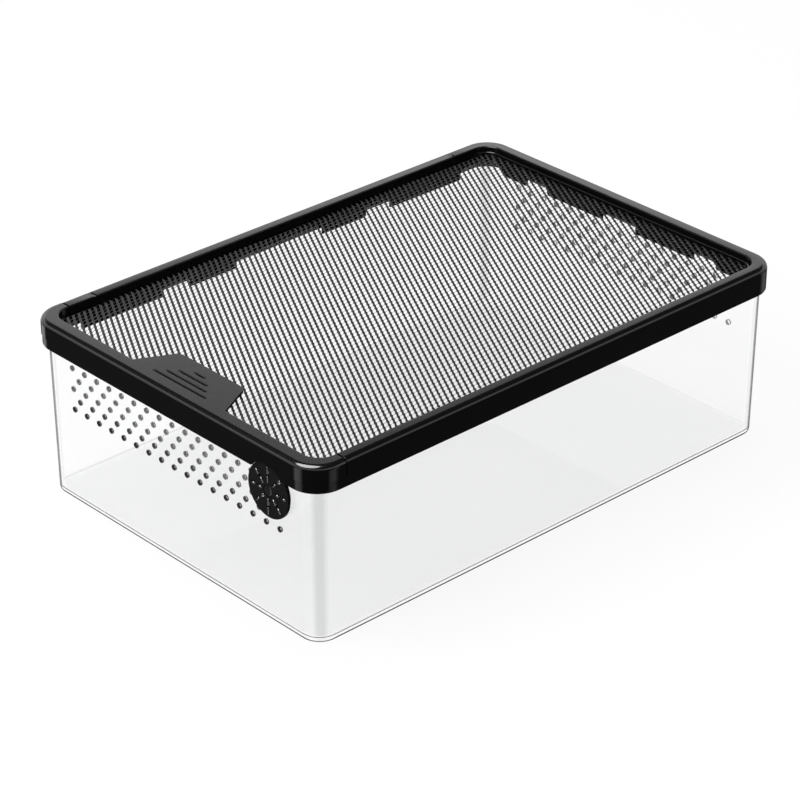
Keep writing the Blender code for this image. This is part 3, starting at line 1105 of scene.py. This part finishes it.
@dataclass
class LidFrame:
    """The snap-on lid frame."""

    lid: LidOutline
    skirt_low: float = 0.0860
    skirt_wall: float = 0.0021
    tip_ease: float = 0.0003
    fillet: float = 0.0030
    lip_round: float = 0.0006
    groove_depth: float = 0.0034
    groove_low: float = 0.0920
    groove_top: float = 0.0960
    web_inner: float = 0.0056
    web_low: float = 0.0904
    well: RoundedRectangle = RoundedRectangle(-0.1539, 0.1546, 0.1026, 0.0100)
    tab_outer: float = 0.0053
    tab_wall: float = 0.0020
    tab_low: float = 0.0845
    tab_top: float = 0.0914
    tab_taper: Point = (0.0008, 0.0020)
    deck: float = 0.0916
    seam_x: float = -0.1428
    seam_gap: float = 0.0009
    seam_bevel: float = 0.00012
    notches_x: Point = (-0.1240, 0.1265)
    notch_length: float = 0.0050
    notch_depth: float = 0.0004
    dial_notch: Point = (0.0030, 0.0149)
    dial_notch_sides: int = 64
    long_tabs: tuple[Point, ...] = ((0.031, 0.062), (0.081, 0.134))
    end_tabs: tuple[Point, ...] = ((0.013, 0.055), (0.072, 0.091))

    def lip(self) -> list[Point]:
        """Return well inset and height pairs of the rim's rounded inner edge, from the top down."""
        top = self.lid.height - self.lip_round
        return [(across - self.lip_round, top + up) for across, up in arc(self.lip_round, 90, 0, ROUND_STEPS)]

    def form(self) -> Form:
        """Sweep skirt, rounded rim, well, groove and web round the lid's outline.

        Returns:
            The closed sweep.
        """
        outside = [(self.tip_ease, self.skirt_low), (0.0, self.skirt_low + 2 * self.tip_ease)]
        outside += soft_edge(self.fillet, 0.0, self.lid.height)
        inside = self.lip() + [(0.0, self.groove_top)]
        below = [
            (self.groove_depth, self.groove_top),
            (self.groove_depth, self.groove_low),
            (self.web_inner, self.groove_low),
            (self.web_inner, self.web_low),
            (self.skirt_wall, self.web_low),
            (self.skirt_wall - self.tip_ease, self.skirt_low),
        ]
        well = [flat_ring(self.well.inset(inset).points(), z) for inset, z in inside]
        return loft(self.lid.rings(outside) + well + self.lid.rings(below), closed=True)

    def tab_spans(self) -> Form:
        """Mark the stretches along the sides where tabs hang.

        Returns:
            One block for each tab.
        """
        depth = 2 * (self.tab_outer + self.tab_wall)
        sides = ((self.lid.half_width, self.long_tabs), (self.lid.half_length, self.end_tabs))
        spans = []
        for sign, edge in product((-1, 1), repeat=2):
            for reach, tabs in sides:
                for start, stop in tabs:
                    along = sorted((sign * start, sign * stop))
                    across = sorted((edge * reach, edge * (reach - depth)))
                    xs, ys = (along, across) if tabs is self.long_tabs else (across, along)
                    low = (xs[0], ys[0], self.tab_low - OVERCUT)
                    spans.append(block(low, (xs[1], ys[1], self.tab_top + OVERCUT)))
        return gathered(spans)

    def tabs(self) -> Solid:
        """Make the interrupted tabs that hang inside the tub's rim.

        Returns:
            The tabs in one solid.
        """
        inner = self.tab_outer + self.tab_wall
        section = (
            (self.tab_outer, self.tab_low),
            (self.tab_outer, self.tab_top),
            (inner, self.tab_top),
            (inner, self.tab_low + self.tab_taper[1]),
            (inner - self.tab_taper[0], self.tab_low),
        )
        band = Solid("tabs", loft(self.lid.rings(section), closed=True))
        return band.apply(Operation.KEEP, self.tab_spans())

    def notches(self) -> Form:
        """Make the cutter of the shallow ramped notches across the far rail.

        Returns:
            The cutter, one wedge for each notch.
        """
        ramps = []
        for deep in self.notches_x:
            far = deep + (self.notch_length if deep > 0 else -self.notch_length)
            corners = (
                (deep, self.lid.height - self.notch_depth),
                (far, self.lid.height + self.notch_depth / 2),
                (deep, self.lid.height + OVERCUT),
            )
            ramps.append(wedge(corners, self.well.half_width - OVERCUT, self.lid.half_width))
        return gathered(ramps)

    def build(self, dial_centre: Point, material: Material) -> Object:
        """Build the frame.

        Args:
            dial_centre: The dial's y and z, where the skirt is notched.
            material: The black finish.

        Returns:
            The finished frame.
        """
        reach = self.lid.half_length + OVERCUT
        half = self.lid.half_width + OVERCUT
        edge = self.seam_x + self.seam_gap
        end = block((-reach, -half, self.deck), (edge, half, self.lid.height + OVERCUT))
        whole = Solid("lid_moulding", self.form())
        whole.apply(Operation.CUT, end)
        whole.apply(Operation.CUT, seam_bevel(self.lid, self.deck, edge, self.seam_bevel, self.fillet))
        whole.apply(Operation.JOIN, self.tabs())
        whole.apply(Operation.CUT, self.notches())
        depth, radius = self.dial_notch
        notch = ((-reach, radius), (depth - self.lid.half_length, radius))
        whole.apply(Operation.CUT, turned(notch, self.dial_notch_sides, dial_centre))
        return whole.finish(material)


@dataclass
class MeshPanel:
    """The sliding panel: moulded frame with its thumb tab, and the expanded metal in it."""

    frame: LidFrame
    clearance: float = 0.0004
    gap: float = 0.0003
    proud: float = 0.0004
    plate_front: float = -0.1560
    window: Point = (0.0026, -0.1500)
    rebate: Point = (0.0013, -0.1520)
    rebate_z: float = 0.0950
    rebate_slot: float = 0.0010
    ridge_inset: float = 0.0004
    ridge_width: float = 0.0016
    ridge_top: float = 0.0986
    ridge_round: float = 0.0005
    ridge_root: float = 0.0006
    ridge_start: float = 0.1380
    ridge_slope: float = 0.0080
    thumb_root: float = 0.0030
    thumb_base: float = 0.0356
    thumb_mid: Point = (-0.1357, 0.0262)
    thumb_front: Point = (-0.1324, 0.0205)
    thumb_wall: float = 0.0018
    thumb_ease: float = 0.0003
    thumb_steps: int = 10
    grip_first: float = -0.1530
    grip_pitch: float = 0.0042
    grip_lengths: tuple[float, ...] = (0.0410, 0.0314, 0.0226, 0.0088)
    grip_width: float = 0.0019
    grip_depth: float = 0.0011
    grip_floor: float = 0.35
    grip_steps: int = 8
    lid: LidOutline = field(init=False)

    def __post_init__(self) -> None:
        """Take the lid's outline from the frame that the panel runs in."""
        self.lid = self.frame.lid

    def well(self, inset: float, front: float | None = None) -> RoundedRectangle:
        """Return the well's outline moved in, with a front edge of its own if given."""
        moved = self.frame.well.inset(inset)
        return moved if front is None else replace(moved, low_x=front)

    def plate_top(self) -> float:
        """Return the height of the plate's top."""
        return self.frame.groove_top - self.clearance

    def cap(self) -> Solid:
        """Make the end cap, which carries on the lid's rounded rim.

        Returns:
            The cap, with no inside yet.
        """
        section = [(-self.proud, self.frame.deck + self.gap)]
        section += soft_edge(self.frame.fillet, -self.proud, self.lid.height)
        low = (-self.lid.half_length - OVERCUT, -self.lid.half_width - OVERCUT, self.frame.deck)
        span = block(low, (self.frame.seam_x, -low[1], self.lid.height + OVERCUT))
        cap = Solid("panel_moulding", loft(self.lid.rings(section))).apply(Operation.KEEP, span)
        foot, size = self.frame.deck - OVERCUT, -self.frame.seam_bevel
        bevel = seam_bevel(self.lid, foot, self.frame.seam_x, size, self.frame.fillet)
        return cap.apply(Operation.CUT, bevel)

    def plate(self) -> Form:
        """Make the plate whose edges run in the lid's grooves.

        Returns:
            The plate, with no window yet.
        """
        rounded = self.lid.inset(self.frame.groove_depth + self.clearance)
        front = [(self.plate_front, rounded.half_width), (self.plate_front, -rounded.half_width)]
        return prism(rounded.rear() + front, self.frame.groove_low + self.clearance, self.plate_top())

    def cap_well(self) -> Form:
        """Make the cutter of the cap's inside.

        Returns:
            The cutter, flared where the cap's upper edge is rounded.
        """
        section = [(0.0, self.plate_top())] + list(reversed(self.frame.lip()))
        section.append((-self.frame.lip_round, self.lid.height + OVERCUT))
        return loft([flat_ring(self.well(inset).points(), z) for inset, z in section])

    def ridge(self) -> Solid:
        """Make the rounded ridge at the panel's rear end.

        Returns:
            The ridge, whose arms slope down to the plate.
        """
        foot = self.plate_top()
        inner = self.ridge_inset + self.ridge_width
        top = self.ridge_top - self.ridge_round
        section = [(self.ridge_inset, foot - self.ridge_root)]
        for middle, start in ((self.ridge_inset + self.ridge_round, 180), (inner - self.ridge_round, 90)):
            for across, up in arc(self.ridge_round, start, start - 90, ROUND_STEPS):
                section.append((middle + across, top + up))
        section.append((inner, foot - self.ridge_root))
        rings = [flat_ring(self.well(inset).points(), z) for inset, z in section]
        ring = Solid("ridge", loft(rings, closed=True))
        half = self.lid.half_width
        ring.apply(Operation.KEEP, block((self.ridge_start, -half, 0.0), (self.lid.half_length, half, 1.0)))
        climb = (self.ridge_top - foot) / self.ridge_slope * OVERCUT
        corners = (
            (self.ridge_start - OVERCUT, foot - climb),
            (self.ridge_start + self.ridge_slope + OVERCUT, self.ridge_top + climb),
            (self.ridge_start - OVERCUT, self.ridge_top + climb),
        )
        return ring.apply(Operation.CUT, wedge(corners, -half, half))

    def thumb(self) -> Form:
        """Make the thumb tab, which tapers to a rounded front.

        Returns:
            The tab, with an eased upper edge.
        """
        bar = self.frame.well.low_x
        side = [(bar - self.thumb_root, self.thumb_base), (bar, self.thumb_base)]
        reach_x = self.thumb_front[0] - self.thumb_mid[0]
        reach_y = self.thumb_mid[1] - self.thumb_front[1]
        for across, along in arc(1.0, 0, 90, self.thumb_steps):
            side.append((self.thumb_mid[0] + reach_x * along, self.thumb_front[1] + reach_y * across))
        outline = [(x, -y) for x, y in side] + list(reversed(side))
        top = self.lid.height
        return loft([
            flat_ring(outline, top - self.thumb_wall),
            flat_ring(outline, top - self.thumb_ease),
            flat_ring(shrunk(outline, self.thumb_ease), top),
        ])

    def grips(self) -> Form:
        """Make the cutter of the round-ended grip grooves, which shorten towards the mesh.

        Returns:
            The cutter, one form for each groove.
        """
        grooves = []
        for index, length in enumerate(self.grip_lengths):
            x = self.grip_first + index * self.grip_pitch
            shift = length / 2 - self.grip_width / 2
            rings = []
            for share, z in ((self.grip_floor, -self.grip_depth), (1.0, 0.0), (1.0, OVERCUT)):
                radius, ring = self.grip_width / 2 * share, []
                for start, side in ((0, 1), (180, -1)):
                    for across, along in arc(radius, start, start + 180, self.grip_steps):
                        ring.append((x + across, along + side * shift))
                rings.append(flat_ring(ring, self.lid.height + z))
            grooves.append(loft(rings))
        return gathered(grooves)

    def build_frame(self, material: Material) -> Object:
        """Build the moulded frame of the panel.

        Args:
            material: The black finish.

        Returns:
            The finished frame.
        """
        rebate = prism(self.well(*self.rebate).points(), self.rebate_z, self.rebate_z + self.rebate_slot)
        low = self.frame.groove_low + self.clearance
        window = prism(self.well(*self.window).points(), low - OVERCUT, self.rebate_z + OVERCUT)
        whole = self.cap()
        whole.apply(Operation.JOIN, self.plate())
        whole.apply(Operation.CUT, self.cap_well())
        whole.apply(Operation.JOIN, self.ridge())
        whole.apply(Operation.CUT, rebate)
        whole.apply(Operation.CUT, window)
        whole.apply(Operation.JOIN, self.thumb())
        whole.apply(Operation.CUT, self.grips())
        return whole.finish(material)


@dataclass
class ExpandedMetal:
    """The sheet of expanded metal that lies in the panel's rebate."""

    panel: MeshPanel
    short_way: float = 0.00353
    long_way: float = 0.00600
    turn: float = 1.26
    knuckle: float = 0.27
    rise: float = 0.00126
    depth: float = 0.00018
    middle_z: float = 0.00138
    edge_gap: float = 0.0008
    points_each: int = 4
    spare: int = 4

    def lattice(self, half_x: float, half_y: float, material: Material) -> Solid:
        """Return the flat lattice of strands, shaped but not yet trimmed or thick.

        The lattice's two ways run along the strands. Knuckles stand at whole numbers, each as
        four points about it, with its corner at -X high and its corner at +X low.

        Args:
            half_x: Half of the sheet's length.
            half_y: Half of its width.
            material: The powder coat.

        Returns:
            The strands' upper faces.
        """
        knuckles = int(half_x / self.short_way + half_y / self.long_way + self.spare)
        tree = Tree("expanded_metal")
        short = tree.size("Short Way", self.short_way)
        long = tree.size("Long Way", self.long_way)
        knuckle = tree.size("Knuckle Share", self.knuckle)
        rise = tree.size("Strand Rise", self.rise)
        turn = tree.size("Turn", radians(self.turn))
        height = tree.size("Height", self.panel.rebate_z + self.middle_z)
        points = tree.size("Lattice Points", self.points_each * knuckles)

        size = points - 1.0
        grid = tree.geometry("MeshGrid", Size_X=size, Size_Y=size, Vertices_X=points, Vertices_Y=points)
        at = [way + size / 2.0 for way in tree.parts(tree.node("GeometryNodeInputPosition").outputs[0])[:2]]
        opening = (at[0].floor() % 2.0) * (at[1].floor() % 2.0)
        strands = tree.geometry("DeleteGeometry", {"domain": "FACE"}, Geometry=grid, Selection=opening > 0.5)
        whole = [(way + 0.5).floor() for way in at]
        side = [(way % 2.0) * 2.0 - 1.0 for way in whole]
        ways = [(way / 2.0).floor() - size / 4.0 + sign * knuckle for way, sign in zip(whole, side)]
        spot = tree.vector(
            X=(ways[0] + ways[1]) * short / 2.0,
            Y=(ways[0] - ways[1]) * long / 2.0,
            Z=(side[0] + side[1]) * rise / -2.0,
        )
        shaped = tree.geometry("SetPosition", Geometry=strands, Position=spot)
        lying = tree.geometry(
            "Transform", Geometry=shaped, Translation=tree.vector(Z=height), Rotation=tree.vector(Z=turn)
        )
        tree.end(lying, tree.size("Material", material))
        return tree.run("expanded_mesh")

    def build(self, material: Material) -> Object:
        """Build the sheet: rhombic openings between tilted strands that meet in knuckles.

        Args:
            material: The powder coat.

        Returns:
            The finished sheet.
        """
        inset, front = self.panel.rebate
        edge = self.panel.well(inset + self.edge_gap, front + self.edge_gap)
        sheet = self.lattice(max(edge.high_x, -edge.low_x), edge.half_width, material)
        form = bmesh.new()
        form.from_mesh(sheet.item.data)
        sides = (
            ((edge.low_x, 0, 0), (-1, 0, 0)),
            ((edge.high_x, 0, 0), (1, 0, 0)),
            ((0, -edge.half_width, 0), (0, -1, 0)),
            ((0, edge.half_width, 0), (0, 1, 0)),
        )
        for spot, outward in sides:
            parts = form.verts[:] + form.edges[:] + form.faces[:]
            bmesh.ops.bisect_plane(form, geom=parts, plane_co=spot, plane_no=outward, clear_outer=True)
        lower = bmesh.ops.extrude_face_region(form, geom=form.faces[:])["geom"]
        moved = [part for part in lower if isinstance(part, bmesh.types.BMVert)]
        bmesh.ops.translate(form, verts=moved, vec=(0, 0, -self.depth))
        form.to_mesh(sheet.item.data)
        form.free()
        sheet.cleaned()
        return sheet.item


@dataclass
class VentDial:
    """The round dial, its slots and ribs, and the rivet it turns on."""

    tub: Tub
    gap: float = 0.0003
    radius: float = 0.0148
    thickness: float = 0.0014
    edge: float = 0.0004
    slots: int = 8
    slot_inner: float = 0.0050
    slot_outer: float = 0.0122
    slot_width: float = 0.0017
    rib_radius: float = 0.00060
    rib_share: float = 0.43
    rib_inner: float = 0.0044
    rib_outer: float = 0.0129
    rib_sides: int = 12
    bore: float = 0.0018
    recess: Point = (0.0007, 0.0032)
    pivot_radius: float = 0.0014
    head_radius: float = 0.0028
    head_height: float = 0.0006
    head_flat: float = 0.5
    head_edge: float = 0.3
    head_arc: tuple[float, float, int] = (90, 20, 5)
    tail_height: float = 0.0014
    sides: int = 72
    fine_sides: int = 32

    def back(self) -> float:
        """Return the x of the dial's back."""
        return self.tub.seat_x() - self.gap

    def front(self) -> float:
        """Return the x of the dial's face."""
        return self.back() - self.thickness

    def drum(self, low: float, high: float, radius: float) -> Form:
        """Return a plain drum on the dial's axis."""
        return turned(((low, radius), (high, radius)), self.fine_sides, self.tub.dial_centre)

    def slot_ring(self, low: float, high: float) -> Form:
        """Make the cutter of the ring of radial slots.

        Args:
            low: Where the slots start along X.
            high: Where they end.

        Returns:
            The cutter, one block for each slot.
        """
        forms = []
        half = self.slot_width / 2
        move = Matrix.Translation((0, *self.tub.dial_centre))
        for index in range(self.slots):
            form = block((low, self.slot_inner, -half), (high, self.slot_outer, half))
            turn = Matrix.Rotation(2 * pi * index / self.slots, 4, "X")
            bmesh.ops.transform(form, matrix=move @ turn, verts=form.verts)
            forms.append(form)
        return gathered(forms)

    def wall_cutter(self) -> Form:
        """Make the cutter of what lies behind the dial in the tub's wall.

        Returns:
            The cutter of the slots and the bore.
        """
        low = self.front()
        high = -self.tub.wall_x(self.tub.low_row) + self.tub.wall + OVERCUT
        return gathered([self.slot_ring(low, high), self.drum(low, high, self.bore)])

    def ribs(self, material: Material) -> Solid:
        """Return the round ribs that stand along the slots, in two lengths each.

        Args:
            material: The ribs' finish.

        Returns:
            The ribs, each half sunk in the dial's face.
        """
        tree = Tree("dial_ribs")
        count = tree.size("Rib Count", self.slots)
        inner = tree.size("Inner Radius", self.rib_inner)
        outer = tree.size("Outer Radius", self.rib_outer)
        radius = tree.size("Rib Radius", self.rib_radius)
        circle = tree.geometry("MeshCircle", Vertices=count, Radius=(inner + outer) / 2.0)
        share = tree.size("Share Of Each Length", self.rib_share)
        length = outer - inner
        part = tree.geometry("MeshCylinder", Vertices=self.rib_sides, Radius=radius, Depth=length * share)
        bar = tree.node("GeometryNodeJoinGeometry").outputs[0]
        for end in (-0.5, 0.5):
            shift = tree.vector(Z=length * (1.0 - share) * end)
            moved = tree.geometry("Transform", Geometry=part, Translation=shift)
            tree.tree.links.new(moved, bar.node.inputs[0])
        index = Value(tree, tree.node("GeometryNodeInputIndex").outputs[0])
        turn = tree.vector(Y=pi / 2, Z=index / count * (2 * pi))
        bars = tree.geometry("InstanceOnPoints", Points=circle, Instance=bar, Rotation=turn)
        centre = (self.front(), *self.tub.dial_centre)
        standing = tree.geometry("Transform", Geometry=bars, Rotation=(0.0, -pi / 2, 0.0), Translation=centre)
        tree.end(standing, tree.size("Material", material))
        return tree.run("ribs")

    def build(self, face: Material, rib: Material) -> Object:
        """Build the dial.

        Args:
            face: The finish of the disc.
            rib: The finish of its ribs.

        Returns:
            The finished dial.
        """
        centre = self.tub.dial_centre
        rounded = [
            (self.front() + self.edge - up, self.radius - self.edge + across)
            for across, up in arc(self.edge, 90, 0, ROUND_STEPS)
        ]
        disc = Solid("dial_disc", turned(rounded + [(self.back(), self.radius)], self.sides, centre))
        low, high = self.front() - OVERCUT, self.back() + OVERCUT
        disc.apply(Operation.CUT, self.slot_ring(low, high))
        disc.apply(Operation.CUT, self.drum(low, high, self.bore))
        disc.apply(Operation.CUT, self.drum(low, self.front() + self.recess[0], self.recess[1]))
        item = disc.finish(face)
        item.data.materials.append(rib)
        form = bmesh.new()
        form.from_mesh(item.data)
        count = len(form.faces)
        bars = self.ribs(rib)
        form.from_mesh(bars.item.data)
        bpy.data.objects.remove(bars.item, do_unlink=True)
        form.faces.ensure_lookup_table()
        for one in form.faces[count:]:
            one.material_index = 1
            one.smooth = True
        form.to_mesh(item.data)
        form.free()
        return item

    def build_pivot(self, material: Material) -> Object:
        """Build the rivet: head in the dial's hub, shank, and tapered tail inside the wall.

        Args:
            material: The rivet's finish.

        Returns:
            The finished rivet.
        """
        head_back = self.front() + self.recess[0] - self.gap
        tail = -(self.tub.wall_x(self.tub.dial_centre[1]) - self.tub.wall) + self.gap
        head = []
        for across, up in arc(1.0, *self.head_arc):
            height = self.head_edge + (1.0 - self.head_edge) * up
            reach = self.head_flat + (1.0 - self.head_flat) * across
            head.append((head_back - self.head_height * height, self.head_radius * reach))
        section = head + [
            (head_back, self.head_radius),
            (head_back, self.pivot_radius),
            (tail, self.pivot_radius),
            (tail, self.head_radius),
            (tail + self.tail_height, self.pivot_radius),
        ]
        form = turned(section, self.fine_sides, self.tub.dial_centre)
        return Solid("pivot_rivet", form).finish(material)


# Studio


@dataclass(frozen=True)
class Camera:
    """The photograph's view."""

    place: tuple[float, float, float] = (-0.972996, -1.050234, 0.825033)
    azimuth: float = -42.5998
    elevation: float = 28.9064
    roll: float = -0.0925
    focal_share: float = 3.8819
    sensor: float = 36.0

    def build(self) -> None:
        """Add the camera and make it the scene's."""
        turn, lift = radians(self.azimuth), radians(self.elevation)
        back = Vector((sin(turn) * cos(lift), -cos(turn) * cos(lift), sin(lift)))
        right = Vector((0, 0, 1)).cross(back).normalized()
        up = back.cross(right)
        roll = radians(self.roll)
        right, up = cos(roll) * right + sin(roll) * up, cos(roll) * up - sin(roll) * right
        data = bpy.data.cameras.new("camera")
        data.sensor_width = self.sensor
        data.lens = self.focal_share * self.sensor
        camera = bpy.data.objects.new("camera", data)
        camera.matrix_world = Matrix.Translation(self.place) @ Matrix((right, up, back)).transposed().to_4x4()
        bpy.context.collection.objects.link(camera)
        bpy.context.scene.camera = camera


@dataclass(frozen=True)
class Lamp:
    """A soft round lamp that shines at the box."""

    name: str
    towards: tuple[float, float, float]
    distance: float
    size: float
    radiance: float
    reflected: bool = True
    direct: bool = True

    def build(self) -> None:
        """Add the lamp, which the camera doesn't see, for gloss, for plain light or for both."""
        data = bpy.data.lights.new(self.name, "AREA")
        data.shape = "DISK"
        data.size = self.size
        data.energy = self.radiance * pi * pi * self.size**2 / 4
        lamp = bpy.data.objects.new(self.name, data)
        direction = Vector(self.towards).normalized()
        lamp.location = direction * self.distance
        lamp.rotation_mode = "QUATERNION"
        lamp.rotation_quaternion = direction.to_track_quat("Z", "Y")
        lamp.visible_camera = False
        lamp.visible_glossy = self.reflected
        lamp.visible_diffuse = self.direct
        bpy.context.collection.objects.link(lamp)


@dataclass(frozen=True)
class Studio:
    """Pale floor, bright horizon, darker ceiling and soft lamps."""

    floor_size: float = 12.0
    floor_colour: float = 0.80
    floor_share: float = 0.88
    floor_roughness: float = 0.9
    sky: tuple[Point, ...] = (
        (0.00, 1.0),
        (0.37, 1.0),
        (0.405, 3.0),
        (0.424, 3.0),
        (0.433, 2.3),
        (0.440, 1.0),
        (0.448, 0.58),
        (0.48, 0.56),
        (0.50, 0.61),
        (0.56, 0.12),
        (0.70, 0.06),
    )
    lamps: tuple[Lamp, ...] = (
        Lamp("overhead", (0.10, 0.25, 1.0), 2.2, 1.8, 2.2, reflected=False),
        Lamp("key", (-0.592, 0.213, 0.777), 1.6, 1.10, 6.0, reflected=False),
        Lamp("softbox", (-0.417, 0.061, 0.906), 1.6, 1.40, 14.0, direct=False),
    )

    def floor(self) -> None:
        """Add the floor, white where the camera, gloss or the clear tub show it."""
        half = self.floor_size / 2
        corners = ((-half, -half, 0.0), (half, -half, 0.0), (half, half, 0.0), (-half, half, 0.0))
        form = bmesh.new()
        form.faces.new([form.verts.new(corner) for corner in corners])
        mesh = bpy.data.meshes.new("floor")
        form.to_mesh(mesh)
        form.free()
        floor = bpy.data.objects.new("floor", mesh)
        bpy.context.collection.objects.link(floor)
        paint = Paint("floor_paper")
        shown = paint.rays("Is Camera Ray", "Is Glossy Ray", "Is Transmission Ray")
        colour = paint.mix(shown, self.floor_colour, 1.0)
        paint.set(Base_Color=colour, Roughness=self.floor_roughness, Specular_IOR_Level=0.0)
        white = paint.node("ShaderNodeEmission", Color=opaque(1.0), Strength=1.0)
        paint.blend(shown * self.floor_share, white.outputs[0])
        mesh.materials.append(paint.material)

    def backdrop(self) -> None:
        """Light the scene from a white horizon under a darker ceiling."""
        world = bpy.data.worlds.new("studio")
        bpy.context.scene.world = world
        world.use_nodes = True
        wiring = Wiring(world.node_tree)
        brightest = max(grey for _, grey in self.sky)
        height = wiring.parts(wiring.node("ShaderNodeTexCoord").outputs["Generated"])[2]
        scaled = wiring.ramp(height, [(place, grey / brightest) for place, grey in self.sky]) * brightest
        seen = wiring.node("ShaderNodeLightPath").outputs["Is Camera Ray"]
        shown = wiring.node("ShaderNodeMix", {"data_type": "FLOAT"}, at0=seen, at2=scaled, at3=1.0)
        light = {"Color": opaque(1.0), "Strength": shown.outputs[0]}
        feed(wiring.tree, wiring.tree.nodes["Background"], light)

    def build(self) -> None:
        """Add everything that isn't the box."""
        self.floor()
        self.backdrop()
        for lamp in self.lamps:
            lamp.build()
        bpy.context.scene.view_settings.view_transform = "Standard"


def main() -> None:
    """Build every piece, the studio and the camera."""
    logging.basicConfig(level=logging.INFO, format="%(name)s: %(message)s")
    low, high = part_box("lid_frame")
    lid = LidOutline((high.x - low.x) / 2, (high.y - low.y) / 2, high.z)
    tub = Tub(lid, rim_height=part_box("tub")[1].z)
    dial = VentDial(tub)
    lid_frame = LidFrame(lid)
    panel = MeshPanel(lid_frame)
    metal = ExpandedMetal(panel)
    black = BlackMoulding("lid_black", painted_sheen=0.74).material()
    panel_black = BlackMoulding("panel_black").material()
    face = SatinPlastic("dial_black").material()
    # The ribs and the rivet carry a painted sheen on their sides that face -Y; the dial's face has none.
    rib = SatinPlastic("rib_black", painted_sheen=1.0).material()
    pivot = SatinPlastic("pivot_black", colour=0.008, roughness=0.38, painted_sheen=0.4).material()
    clear = ClearPlastic(tub.dial_centre, tub.seat_radius).material()
    punched = PunchedWall(tub.low_row, tub.row_pitch).material()

    place(tub.build(dial.wall_cutter(), clear, punched), Body.TUB, Slot.CLEAR, "tub")
    place(lid_frame.build(tub.dial_centre, black), Body.LID, Slot.LID, "lid_frame")
    place(panel.build_frame(panel_black), Body.PANEL, Slot.PANEL, "slide_frame")
    place(metal.build(CoatedSteel().material()), Body.PANEL, Slot.MESH, "mesh_screen")
    place(dial.build(face, rib), Body.DIAL, Slot.DIAL, "vent_dial")
    place(dial.build_pivot(pivot), Body.TUB, Slot.PIVOT, "vent_pivot")

    Studio().build()
    Camera().build()


if __name__ == "__main__":
    main()
